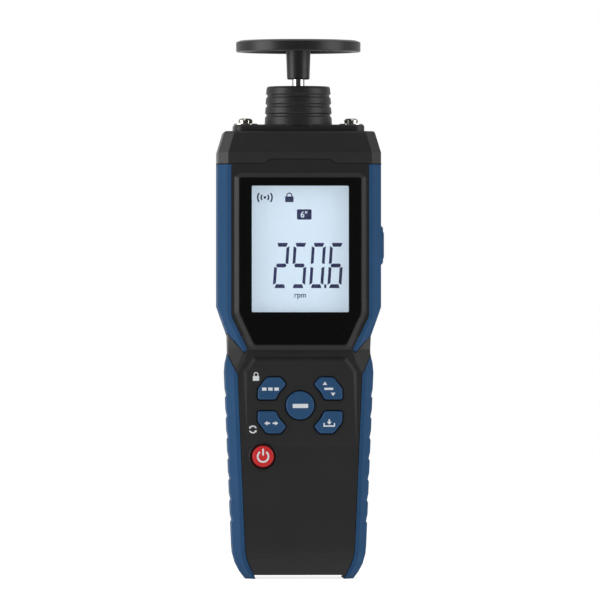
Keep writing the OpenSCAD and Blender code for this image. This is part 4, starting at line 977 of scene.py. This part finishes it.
@dataclass
class Grips:
    """The four soft overmouldings, and a painted shade line where each meets the shells."""

    nodes: tuple[str, ...] = ("upper_left_grip", "upper_right_grip", "lower_left_grip",
                              "lower_right_grip")
    shells: tuple[str, ...] = ("front_case", "rear_case", "head_cap")
    touch: float = 0.4
    joint_in: float = 0.26
    joint_out: float = 0.06
    joint_proud: float = 0.02
    joint_sunk: float = 0.05
    weld: float = 0.002
    sole: float = -0.5

    def build(self) -> None:
        """Dresses the grips and draws painted shade along their joints."""
        for node in self.nodes:
            dress(node, GRIP_TPE)
        shells = self.shell_surface()
        # A thin dark sheet along each joint stands in for the shade in the seam: painted shade.
        joint = Draft()
        for node in self.nodes:
            self.draw_seam_shade(joint, node, shells)
        joint.made("grip_seam_painted_shade", GASKET_FOAM_AND_SEAM_SHADE, "case", "gasket")

    def shell_surface(self) -> BVHTree:
        """Joins the shells and the cap into one surface for rays.

        Returns:
            The surface, in metres.
        """
        joined = bmesh.new()
        for node in self.shells:
            joined.from_mesh(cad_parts[node].data)
        surface = BVHTree.FromBMesh(joined)
        joined.free()
        return surface

    def draw_seam_shade(self, joint: Draft, node: str, shells: BVHTree) -> None:
        """Draws a thin dark band of painted shade along each edge where a grip's outside meets a
        shell.

        Args:
            joint: the draft that takes the bands.
            node: the grip.
            shells: the surface of the shells.
        """
        grip = bmesh.new()
        grip.from_mesh(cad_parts[node].data)
        bmesh.ops.remove_doubles(grip, verts=grip.verts, dist=self.weld * MM)
        covered = {face: self.is_covered(face, shells) for face in grip.faces}
        for edge in grip.edges:
            outside = [face for face in edge.link_faces if not covered[face]]
            if len(edge.link_faces) == 2 and len(outside) == 1 and outside[0].normal.z > self.sole:
                self.add_band(joint, edge, outside[0])
        grip.free()

    def is_covered(self, face: bmesh.types.BMFace, shells: BVHTree) -> bool:
        """Finds out whether a shell lies right in front of a face.

        Args:
            face: a face of a grip, in metres.
            shells: the surface of the shells.

        Returns:
            True where a shell covers the face.
        """
        start = face.calc_center_median() - face.normal * self.joint_sunk * MM
        reach = (self.touch + self.joint_sunk) * MM
        return shells.ray_cast(start, face.normal, reach)[0] is not None

    def add_band(self, joint: Draft, edge: bmesh.types.BMEdge, face: bmesh.types.BMFace) -> None:
        """Adds the band of painted shade along one edge.

        Args:
            joint: the draft that takes it.
            edge: the edge, in metres.
            face: the outer face beside it.
        """
        first, last = (vert.co / MM for vert in edge.verts)
        along = (last - first).normalized()
        inward = face.normal.cross(along)
        if inward.dot(face.calc_center_median() / MM - first) < 0:
            inward.negate()
        corners = [first - along * self.joint_out, last + along * self.joint_out]
        rings = []
        for lift in (-self.joint_sunk, self.joint_proud):
            raised = face.normal * lift
            low, high = inward * -self.joint_out + raised, inward * self.joint_in + raised
            ring = [corners[0] + low, corners[1] + low, corners[1] + high, corners[0] + high]
            for corner in ring:
                corner.z = max(corner.z, 0.0)
            rings.append(joint.ring(ring))
        joint.bridge(*rings)
        joint.cover(rings[:1])
        joint.cover(rings[1:])


class Segment(Enum):
    """The seven bars of a digit, each by its middle in half widths and quarter heights."""

    TOP = (0, 2)
    UPPER_RIGHT = (1, 1)
    LOWER_RIGHT = (1, -1)
    BOTTOM = (0, -2)
    LOWER_LEFT = (-1, -1)
    UPPER_LEFT = (-1, 1)
    MIDDLE = (0, 0)


DARK_SEGMENTS = {
    "2": (Segment.LOWER_RIGHT, Segment.UPPER_LEFT),
    "5": (Segment.UPPER_RIGHT, Segment.LOWER_LEFT),
    "0": (Segment.MIDDLE,),
    "6": (Segment.UPPER_RIGHT,),
}


@dataclass
class DigitRow:
    """The large number on the panel."""

    text: str = "250.6"
    pitch: float = 7.06
    first_x: float = -7.25
    middle_z: float = 121.7
    half_w: float = 2.16
    half_h: float = 8.03
    bar_w: float = 1.14
    bar_h: float = 1.5
    bar_gap: float = 0.5
    lean: float = math.tan(math.radians(3.8))
    end_gap: float = 0.1
    end_cut: float = 0.5
    near_cut: float = 0.4
    far_cut: float = 0.7
    point: Point = (0.44, 0.72)

    def outlines(self) -> list[Outline]:
        """Draws the number.

        Returns:
            The outlines of the bars of all its digits and of the decimal point.
        """
        drawn: list[Outline] = []
        place = 0
        for sign in self.text:
            x = self.first_x + place * self.pitch
            if sign == ".":
                drawn.append(self.leaning(self.point_outline(), x - self.pitch / 2))
                continue
            drawn += self.digit(sign, x)
            place += 1
        return drawn

    def point_outline(self) -> Outline:
        """Returns the decimal point, about the middle between two digits."""
        half_w, half_h = self.point
        return shifted(rectangle(half_w, half_h), 0, half_h - self.half_h - self.bar_h / 2)

    def digit(self, sign: str, x: float) -> list[Outline]:
        """Returns the outlines of the bars of one digit about its middle."""
        shown = [bar for bar in Segment if bar not in DARK_SEGMENTS[sign]]
        return [self.leaning(self.bar(bar), x) for bar in shown]

    def bar(self, bar: Segment) -> Outline:
        """Draws one bar of an upright digit, with its ends cut to points.

        Args:
            bar: which bar it is.

        Returns:
            The outline of the bar.
        """
        across, up = bar.value
        middle_z = up * self.half_h / 2
        if across == 0:
            long, half = self.half_w - self.end_gap, self.bar_h / 2
            short = long - self.end_cut
            if up == 0:
                shape = [(-short, -half), (short, -half), (long, 0), (short, half),
                         (-short, half), (-long, 0)]
                return shifted(shape, 0, middle_z)
            ends = (short, long) if up > 0 else (long, short)
            shape = [(-ends[0], -half), (ends[0], -half), (ends[1], half), (-ends[1], half)]
            return shifted(shape, 0, middle_z)
        half, reach = self.bar_w / 2, self.half_h / 2 - self.bar_gap
        shape = [(-half, self.near_cut - reach), (half, -reach), (half, reach),
                 (-half, reach - self.far_cut)]
        shape = [(across * u, up * v) for u, v in shape]
        if across * up < 0:
            shape.reverse()
        return shifted(shape, across * self.half_w, middle_z)

    def leaning(self, shape: Outline, x: float) -> Outline:
        """Returns an upright shape, leant to the right and put in its place."""
        return [(x + u + v * self.lean, self.middle_z + v) for u, v in shape]


@dataclass
class DisplayWindow:
    """The lens with its printed border, the liquid crystal panel behind it and its print."""

    window_half_w: float = 18.8
    window_low: float = 103.6
    window_high: float = 152.6
    window_round: float = 0.5
    lens_round: float = 0.9
    lens_back: float = 16.9
    lens_front: float = 18.4
    lens_edge: float = 0.25
    corner_run: float = 5.8
    corner_h: float = 12.6
    pane_gap: float = 0.02
    pane_sink: float = 0.02
    digits: DigitRow = field(default_factory=DigitRow)
    signal: Signal = Signal()
    signal_middle: Point = (-13.6, 148.1)
    lock: Padlock = Padlock(half_w=1.63, half_h=1.09, bow_r=0.9454, bow_rise=1.44, leg=0.35,
                            line=0.4)
    lock_middle: Point = (-4.1, 147.4)
    setting_middle: Point = (1.7, 141.5)
    setting_half: Point = (2.85, 2.0)
    setting_round: float = 0.5
    setting_foot: Point = (1.6, 140.35)
    setting_size: float = 3.3
    unit_foot: Point = (0.15, 109.3)
    unit_size: float = 2.9
    letter_weight: float = 0.04

    def build(self) -> None:
        """Builds the lens and the print on the panel, and dresses what lies behind."""
        self.build_lens()
        self.build_print()
        dress("lcd_glass", PANEL_GLASS)
        dress("display_gasket", GASKET_FOAM_AND_SEAM_SHADE)
        dress("backlight", DIFFUSER)
        dress("lcd_holder", WHITE_ABS)
        dress("contact_strip", MAT_SILICONE)

    def window(self) -> Outline:
        """Draws the edge of the clear window.

        Returns:
            The outline.
        """
        middle = (self.window_low + self.window_high) / 2
        half_h = (self.window_high - self.window_low) / 2
        return shifted(rounded(rectangle(self.window_half_w, half_h), self.window_round), 0, middle)

    def lens_outline(self) -> Outline:
        """Draws the edge of the lens, with its two lower corners cut off.

        Returns:
            The outline.
        """
        low, high = box_mm("display_lens")
        half = high.x
        foot = half - self.corner_run
        corner_z = low.z + self.corner_h
        shape = [(-foot, low.z), (foot, low.z), (half, corner_z), (half, high.z), (-half, high.z),
                 (-half, corner_z)]
        return rounded(shape, self.lens_round)

    def build_lens(self) -> None:
        """Builds the black border of the lens and the clear pane inside it."""
        border = Draft()
        window = self.window()
        border.plate(Plane.FRONT, self.lens_outline(),
                     edge_levels(self.lens_back, self.lens_front, self.lens_edge), [window])
        border.made("lens_border", LENS_PRINT, "case", "lens", ["display_lens"])
        pane = Draft()
        pane.plate(Plane.FRONT, inset(window, self.pane_gap),
                   [(self.lens_back, 0.0), (self.lens_front - self.pane_sink, 0.0)])
        pane.made("lens_pane", LENS_CLEAR, "case", "lens", ["display_lens"])

    def panel_front(self, _height: float) -> float:
        """Returns how far the face of the panel lies in front of the spindle axis."""
        return -box_mm("lcd_glass")[0].y

    def build_print(self) -> None:
        """Builds the print of the panel: the number, the icons and the words."""
        icons = (moved(self.signal.outlines(), self.signal_middle)
                 + moved(self.lock.outlines(), self.lock_middle))
        tile = rounded(rectangle(*self.setting_half), self.setting_round)
        for name, shapes in (("panel_number", self.digits.outlines()), ("panel_icons", icons),
                             ("panel_memory_box", moved([tile], self.setting_middle))):
            build_print(name, shapes, self.panel_front, SEGMENT_INK, "case")
        front = self.panel_front(self.unit_foot[1])
        self.build_word("panel_memory_digit", '6"', PANEL_GLASS, self.setting_foot,
                        self.setting_size, front + PRINT_T)
        self.build_word("panel_unit", "rpm", SEGMENT_INK, self.unit_foot, self.unit_size, front)

    def build_word(self, name: str, text: str, finish: Finish, foot: Point, size: float,
                   front: float) -> None:
        """Builds a short print of type on the panel.

        Args:
            name: name of the piece.
            text: what it says.
            finish: its surface.
            foot: middle and height of its foot line.
            size: size of its letters.
            front: how far the face under it lies in front of the spindle axis.
        """
        curve = bpy.data.curves.new(name, "FONT")
        curve.body = text
        curve.align_x = "CENTER"
        curve.size = size * MM
        curve.extrude = PRINT_T * MM / 2
        curve.offset = self.letter_weight * MM
        curve.materials.append(finish.material())
        word = new_object(name, curve)
        word.location = Vector((foot[0], -front - PRINT_T / 2, foot[1])) * MM
        word.rotation_euler = (math.pi / 2, 0.0, 0.0)
        settle(word, "case")


@dataclass
class KeyPad:
    """The five blue keys, the red power key, their marks and what lies under them.

    The corners of a corner key are shares of the cluster's half width and half height.
    """

    key_front: float = 16.7
    key_edge: float = 0.6
    key_round: float = 0.8
    flange_w: float = 0.7
    flange_t: float = 0.9
    cap_lap: float = 0.1
    stem_r: float = 2.3
    stem_sides: int = 32
    cluster_z: float = 67.4
    cluster_half_w: float = 16.4
    cluster_half_h: float = 10.9
    corner_shares: tuple[Point, ...] = ((1, 0.206), (0.579, 0.206), (0.506, 0.44), (0.329, 0.752),
                                        (0.463, 1), (0.787, 1), (1, 0.587))
    middle_r: float = 5.5
    power_middle: Point = (-14.4, 47.6)
    power_r: float = 4.15
    rim_in_r: float = 4.7
    rim_out_r: float = 5.6
    rim_edge: float = 0.42
    rim_sunk: float = 0.03
    handle_front: float = 15.2
    field_low: float = 51.75
    field_high: float = 86.2
    field_front: float = 15.25
    field_rise: float = 0.7
    sides: int = 96
    marks: KeyMarks = KeyMarks()
    bars_middle: Point = (-11.55, 73.75)
    steps_middle: Point = (11.1, 73.85)
    arrows_middle: Point = (-11.2, 60.5)
    tray_middle: Point = (11.3, 60.5)
    dash_middle: Point = (0.1, 67.2)
    cycle_middle: Point = (-18.3, 58.1)
    lock: Padlock = Padlock(half_w=1.22, half_h=0.92, bow_r=0.74, bow_rise=1.5, leg=0.6,
                            line=0.34)
    lock_middle: Point = (-17.1, 77.9)

    def build(self) -> None:
        """Builds the keys and their marks, and dresses the mat and its contacts."""
        for name, side, row in (("upper_left_key", Side.LEFT, Row.UPPER),
                                ("lower_left_key", Side.LEFT, Row.LOWER),
                                ("upper_right_key", Side.RIGHT, Row.UPPER),
                                ("lower_right_key", Side.RIGHT, Row.LOWER)):
            self.build_key(name, self.corner_outline(side, row), KEY_SILICONE, "blue_key")
        middle = shifted(circle(self.middle_r, self.sides), 0, self.cluster_z)
        self.build_key("centre_key", middle, KEY_SILICONE, "blue_key")
        power = shifted(circle(self.power_r, self.sides), *self.power_middle)
        self.build_key("power_key", power, RED_SILICONE, "red_key")
        self.build_power_rim()
        self.build_marks()
        dress("keypad_mat", MAT_SILICONE)
        dress("key_pads", MAT_SILICONE)

    def corner_outline(self, side: Side, row: Row) -> Outline:
        """Draws a corner key, whose inner side follows the round middle key.

        Args:
            side: left or right.
            row: upper or lower.

        Returns:
            The outline of the key, turning left.
        """
        points = [(side.value * u * self.cluster_half_w, row.value * v * self.cluster_half_h)
                  for u, v in self.corner_shares]
        if side.value * row.value > 0:
            points.reverse()
        return shifted(rounded(points, self.key_round), 0, self.cluster_z)

    def build_power_rim(self) -> None:
        """Builds the low ridge on the front case round the opening of the power key."""
        rim = Draft()
        outer, hole = (shifted(circle(radius, self.sides), *self.power_middle)
                       for radius in (self.rim_out_r, self.rim_in_r))
        levels = [(self.handle_front - self.rim_sunk, 0.0), (self.handle_front, 0.0),
                  (self.handle_front + self.rim_edge, self.rim_edge)]
        rim.plate(Plane.FRONT, outer, levels, [hole])
        rim.made("power_key_rim", CASE_ABS, "case", "black_case")

    def flange_front(self, node: str) -> float:
        """Returns how far the front of a key's flange lies in front of the spindle axis."""
        depths = {round(-vert.co.y / MM, 3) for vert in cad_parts[node].data.vertices}
        return max(depth for depth in depths if depth < self.key_front - 2 * self.key_edge)

    def build_key(self, node: str, outline: Outline, finish: Finish, slot: str) -> None:
        """Builds a key with its flange and its stem.

        Args:
            node: the CAD node that it stands for, and its body's name.
            outline: its edge.
            finish: its surface.
            slot: its material slot.
        """
        _, high = box_mm(node)
        flange = self.flange_front(node)
        key = Draft()
        key.plate(Plane.FRONT, outline,
                  edge_levels(flange - self.cap_lap, self.key_front, self.key_edge))
        key.plate(Plane.FRONT, inset(outline, -self.flange_w),
                  [(flange - self.flange_t, 0.0), (flange, 0.0)])
        stem = shifted(circle(self.stem_r, self.stem_sides), *self.middle_of(outline))
        key.plate(Plane.FRONT, stem, [(-high.y, 0.0), (flange - self.flange_t / 2, 0.0)])
        key.made(node + "_cap", finish, node, slot, [node])

    def middle_of(self, outline: Outline) -> Point:
        """Returns the middle of a key's outline, where its stem stands."""
        across, up = zip(*outline)
        return (min(across) + max(across)) / 2, (min(up) + max(up)) / 2

    def key_face(self, _height: float) -> float:
        """Returns how far the faces of the keys lie in front of the spindle axis."""
        return self.key_front

    def field_face(self, height: float) -> float:
        """Returns how far the raised field round the keys lies in front of the axis."""
        share = (height - self.field_low) / (self.field_high - self.field_low)
        return self.field_front + self.field_rise * share

    def build_marks(self) -> None:
        """Builds the white prints on the keys and beside them."""
        marks = self.marks
        on_keys = {
            "upper_left_key": (marks.bars(), self.bars_middle),
            "upper_right_key": (marks.steps(), self.steps_middle),
            "lower_left_key": (marks.opposite_arrows(), self.arrows_middle),
            "lower_right_key": (marks.arrow_to_tray(), self.tray_middle),
            "centre_key": (marks.dash(), self.dash_middle),
            "power_key": (marks.power(), self.power_middle),
        }
        for key, (shapes, middle) in on_keys.items():
            build_print(key + "_legend", moved(shapes, middle), self.key_face, PRINT_WHITE, key,
                        "white_plastic")
        beside = (moved(self.lock.outlines(), self.lock_middle)
                  + moved(marks.cycle(), self.cycle_middle))
        build_print("field_marks", beside, self.field_face, PRINT_WHITE, "case", "white_plastic")


@dataclass
class SideButton:
    """The blue button on the right flank, its plunger and its switch."""

    middle_y: float = -4.4
    middle_z: float = 129.55
    half_w: float = 3.8
    half_h: float = 5.4
    corner_r: float = 1.9
    edge: float = 0.7
    corner_steps: int = 8
    edge_steps: int = 6
    flange_w: float = 0.8
    flange_t: float = 0.9

    def build(self) -> None:
        """Builds the button and dresses the switch behind it."""
        low, high = box_mm("side_button")
        outline = rounded(rectangle(self.half_w, self.half_h), self.corner_r, self.corner_steps)
        outline = shifted(outline, self.middle_y, self.middle_z)
        levels = edge_levels(low.x + self.flange_t / 2, high.x, self.edge, self.edge_steps)
        button = Draft()
        button.plate(Plane.RIGHT, outline, levels)
        button.plate(Plane.RIGHT, inset(outline, -self.flange_w),
                     [(low.x, 0.0), (low.x + self.flange_t, 0.0)])
        button.made("side_button_cap", KEY_SILICONE, "side_button", "blue_key", ["side_button"])
        dress("side_switch", CHIP_EPOXY)
        dress("switch_plunger", RED_PVC)


@dataclass
class Nose:
    """The ribbed nose on its oblong flange, held by two screws."""

    flange_half_w: float = 25.4
    flange_half_d: float = 12.6
    flange_corner: float = 5.0
    corner_steps: int = 10
    flange_edge: float = 0.8
    flange_low: float = 173.9
    flange_top: float = 176.5
    foot_sunk: float = 0.3
    nose_top: float = 191.5
    foot_r: float = 13.2
    top_r: float = 12.4
    rib_count: int = 4
    groove: float = 0.5
    groove_share: float = 0.24
    top_edge: float = 0.9
    bore_r: float = 3.2
    bearing_r: float = 6.525
    bearing_top: float = 189.8
    spigot_r: float = 9.0
    spigot_lap: float = 0.1
    screw_x: float = 20.6
    screw_hole_r: float = 1.7
    screw_hole_sides: int = 24
    sides: int = 160

    def build(self) -> None:
        """Builds the nose and dresses its screws, washers and inserts."""
        low, _ = box_mm("nose_collar")
        nose = Draft()
        nose.turned(self.profile(low.z), self.sides)
        flange = rounded(rectangle(self.flange_half_w, self.flange_half_d), self.flange_corner,
                         self.corner_steps)
        holes = [shifted(circle(self.screw_hole_r, self.screw_hole_sides),
                         side.value * self.screw_x, 0) for side in Side]
        holes.append(circle(self.spigot_r - self.spigot_lap, self.sides))
        nose.plate(Plane.TOP, flange,
                   edge_levels(self.flange_low, self.flange_top, self.flange_edge), holes)
        nose.made("nose_with_flange", NOSE_ABS, "case", "nose_black", ["nose_collar"])
        for node in ("nose_screws", "spring_washers", "flat_washers"):
            dress(node, NICKEL)
        dress("nose_inserts", TURNED_BRASS)

    def radius(self, z: float) -> float:
        """Returns the radius of the tapering nose at a height."""
        share = (z - self.flange_top) / (self.nose_top - self.flange_top)
        return self.foot_r + (self.top_r - self.foot_r) * share

    def profile(self, spigot_end: float) -> Outline:
        """Draws the section of the nose: barrel-edged ribs outside, the bearing seat inside.

        Args:
            spigot_end: height of the lower end of the spigot.

        Returns:
            The closed outline of radius and height.
        """
        pitch = (self.nose_top - self.flange_top) / self.rib_count
        half_groove = pitch * self.groove_share / 2
        foot = self.flange_top - self.foot_sunk
        points: Outline = [(self.spigot_r, spigot_end), (self.spigot_r, foot),
                           (self.radius(self.flange_top), foot)]
        for k in range(self.rib_count):
            low = self.flange_top + k * pitch
            high = low + pitch
            if k > 0:
                points += self.shoulder(low, half_groove)
            if k < self.rib_count - 1:
                below = [(r, 2 * high - z) for r, z in self.shoulder(high, half_groove)]
                points += below[:0:-1]
        points += [(self.top_r - gap, self.nose_top - drop) for drop, gap in quarter(self.top_edge)]
        points += [(self.bore_r, self.nose_top), (self.bore_r, self.bearing_top),
                   (self.bearing_r, self.bearing_top), (self.bearing_r, spigot_end)]
        return points

    def shoulder(self, z: float, half_groove: float) -> Outline:
        """Draws the rounded way from the bottom of a groove up to the rib above it.

        Args:
            z: height of the middle of the groove.
            half_groove: half the width of the groove.

        Returns:
            The points, from the groove outwards.
        """
        outside = self.radius(z)
        start = z + half_groove
        bend = [(outside - drop, start + rise) for drop, rise in quarter(self.groove)]
        return [(outside - self.groove, z)] + bend


@dataclass
class SpindleAndWheel:
    """The chromed spindle and the surface-speed wheel that is pushed onto it."""

    wheel_r: float = 24.25
    rim_low: float = 204.9
    top: float = 209.4
    rim_w: float = 3.0
    web_recess: float = 0.5
    under_recess: float = 1.5
    crown_w: float = 1.75
    crown_h: float = 0.75
    crown_edge: float = 0.15
    edge: float = 0.35
    hub_fillet: tuple[Point, ...] = ((0.0, 0.6), (0.25, 0.15), (0.7, 0.0))
    hub_end_r: float = 4.4
    hub_root_r: float = 4.8
    bore_r: float = 2.53
    bore_top: float = 204.4
    boss_r: float = 6.2
    sides: int = 192

    def build(self) -> None:
        """Builds the wheel and dresses the spindle."""
        low, _ = box_mm("surface_wheel")
        wheel = Draft()
        wheel.turned(self.profile(low.z), self.sides)
        wheel.made("surface_speed_wheel", WHEEL_ACETAL, "wheel", "wheel_black",
                   ["surface_wheel"], sharp=30.0)
        dress("spindle", HARD_CHROME)

    def profile(self, hub_low: float) -> Outline:
        """Draws the section of the wheel with its hub and its blind bore.

        Args:
            hub_low: height of the open end of the hub.

        Returns:
            The closed outline of radius and height.
        """
        rim_in = self.wheel_r - self.rim_w
        floor = self.rim_low + self.under_recess
        roof = self.top - self.web_recess
        crown_low = self.top - self.crown_h
        fillet = [(self.hub_root_r + out, floor - down) for out, down in self.hub_fillet]
        return [(self.bore_r, hub_low), (self.hub_end_r - self.edge, hub_low),
                (self.hub_end_r, hub_low + self.edge), *fillet,
                (rim_in, floor), (rim_in + self.web_recess, self.rim_low),
                (self.wheel_r - self.edge, self.rim_low), (self.wheel_r, self.rim_low + self.edge),
                (self.wheel_r, crown_low),
                (self.wheel_r - self.crown_edge, crown_low + self.crown_edge),
                (self.wheel_r - self.crown_w, self.top),
                (rim_in + self.web_recess, self.top), (rim_in, roof), (self.boss_r, roof),
                (self.boss_r - self.web_recess, self.top), (0.0, self.top),
                (0.0, self.bore_top), (self.bore_r, self.bore_top)]


@dataclass
class Interior:
    """Everything that the shells hide."""

    def build(self) -> None:
        """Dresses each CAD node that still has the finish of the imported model."""
        for name, node in sorted(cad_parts.items()):
            packed = node.material_slots[0].material.name
            if packed in FINISH_OF_SLOT:
                dress(name, FINISH_OF_SLOT[packed])


# Studio


@dataclass
class Lamp:
    """A large soft lamp that looks at the instrument."""

    name: str
    place: tuple[float, float, float]
    width: float
    height: float
    power: float

    def build(self, aim: Vector) -> None:
        """Builds the lamp.

        Args:
            aim: the point that it looks at.
        """
        light = bpy.data.lights.new(self.name, "AREA")
        light.shape = "RECTANGLE"
        light.size = self.width
        light.size_y = self.height
        light.energy = self.power
        lamp = new_object(self.name, light)
        lamp.location = self.place
        lamp.rotation_euler = (Vector(self.place) - aim).to_track_quat("Z", "Y").to_euler()


@dataclass
class Studio:
    """The camera, the lamps, the pale room and the floor."""

    azimuth: float = -2.5
    distance: float = 3.2
    frame_width: float = 0.2327
    front_face: float = 0.017
    aim: Vector = field(default_factory=lambda: Vector((0.00066, 0.0, 0.1083)))
    clip_end: float = 50.0
    room_front: float = 0.04
    room_back: float = 0.78
    room_run: tuple[float, float] = (-0.9, 1.0)
    white: str = "#ffffff"
    floor_half: float = 0.9
    floor_paper: str = "#f2f2f2"
    floor_seen: str = "#b4b4b4"
    floor_glow: float = 0.8
    lamps: tuple[Lamp, ...] = (
        Lamp("left_soft_box", (-1.0, -0.36, 0.25), 0.75, 1.0, 8.8),
        Lamp("right_soft_box", (0.96, -0.5, 0.25), 0.75, 1.0, 6.4),
        Lamp("top_soft_box", (0.0, -0.5, 1.25), 1.2, 0.6, 3.0),
    )

    def build(self) -> None:
        """Builds the whole studio."""
        self.build_camera()
        for lamp in self.lamps:
            lamp.build(self.aim)
        self.build_room()
        self.build_floor()
        bpy.context.scene.view_settings.view_transform = "Standard"

    def build_camera(self) -> None:
        """Builds the camera at the photograph's viewing angle, level with the waist."""
        turn = math.radians(self.azimuth)
        back = Vector((math.sin(turn), -math.cos(turn), 0.0))
        data = bpy.data.cameras.new("camera")
        data.sensor_width = SENSOR_MM
        data.lens = SENSOR_MM * (self.distance - self.front_face) / self.frame_width
        data.clip_end = self.clip_end
        camera = new_object("camera", data)
        camera.location = self.aim + back * self.distance
        camera.rotation_euler = back.to_track_quat("Z", "Y").to_euler()
        bpy.context.scene.camera = camera

    def build_room(self) -> None:
        """Builds the room: white behind the instrument and dark behind the camera."""
        world = bpy.data.worlds.new("room")
        tree = empty_tree(world)
        rays = add_node(tree, "ShaderNodeLightPath").outputs
        heading = add_node(tree, "ShaderNodeTexCoord").outputs["Generated"]
        parts = add_node(tree, "ShaderNodeSeparateXYZ", links={"Vector": heading})
        near, far = self.room_run
        level = add_node(tree, "ShaderNodeMapRange",
                         {"From Min": near, "From Max": far, "To Min": self.room_front,
                          "To Max": self.room_back},
                         {"Value": parts.outputs["Y"]})
        seen = add_node(tree, "ShaderNodeMath",
                        links={0: rays["Is Camera Ray"], 1: rays["Is Transmission Ray"]},
                        operation="MAXIMUM")
        room = add_node(tree, "ShaderNodeBackground", {"Color": linear(self.white)},
                        {"Strength": level.outputs["Result"]})
        backdrop = add_node(tree, "ShaderNodeBackground",
                            {"Color": linear(self.white), "Strength": 1.0})
        mixed = add_node(tree, "ShaderNodeMixShader",
                         links={0: seen.outputs[0], 1: room.outputs[0], 2: backdrop.outputs[0]})
        add_node(tree, "ShaderNodeOutputWorld", links={"Surface": mixed.outputs[0]})
        bpy.context.scene.world = world

    def build_floor(self) -> None:
        """Builds the pale floor, which keeps the instrument's soft shadow."""
        draft = bmesh.new()
        half = self.floor_half
        draft.faces.new([draft.verts.new((x, y, 0.0)) for x, y in rectangle(half, half)])
        data = bpy.data.meshes.new("floor")
        draft.to_mesh(data)
        draft.free()
        data.materials.append(self.floor_material())
        new_object("floor", data)

    def floor_material(self) -> bpy.types.Material:
        """Makes the floor's paper: matte white, lifted to white for the rays that see it.

        Returns:
            The new material.
        """
        made = bpy.data.materials.new("paper_white_matte")
        tree = empty_tree(made)
        rays = add_node(tree, "ShaderNodeLightPath").outputs
        direct = add_node(tree, "ShaderNodeMath",
                          links={0: rays["Is Camera Ray"], 1: rays["Is Glossy Ray"]},
                          operation="MAXIMUM")
        seen = add_node(tree, "ShaderNodeMath",
                        links={0: direct.outputs[0], 1: rays["Is Transmission Ray"]},
                        operation="MAXIMUM")
        paper = add_node(tree, "ShaderNodeBsdfDiffuse", {"Color": linear(self.floor_paper)})
        faint = add_node(tree, "ShaderNodeBsdfDiffuse", {"Color": linear(self.floor_seen)})
        glow = add_node(tree, "ShaderNodeEmission",
                        {"Color": linear(self.white), "Strength": self.floor_glow})
        shown = add_node(tree, "ShaderNodeAddShader",
                         links={0: faint.outputs[0], 1: glow.outputs[0]})
        mixed = add_node(tree, "ShaderNodeMixShader",
                         links={0: seen.outputs[0], 1: paper.outputs[0], 2: shown.outputs[0]})
        add_node(tree, "ShaderNodeOutputMaterial", links={"Surface": mixed.outputs[0]})
        return made


def main() -> None:
    """Builds the instrument's sub-assemblies in order, and the studio round them."""
    logging.basicConfig(level=logging.INFO, format="%(name)s: %(message)s")
    for part in (CaseShells(), PaintedSeamShade(), Grips(), DisplayWindow(), KeyPad(), SideButton(),
                 Nose(), SpindleAndWheel(), Interior(), Studio()):
        part.build()
        log.info("finished %s", type(part).__name__)


if __name__ == "__main__":
    main()
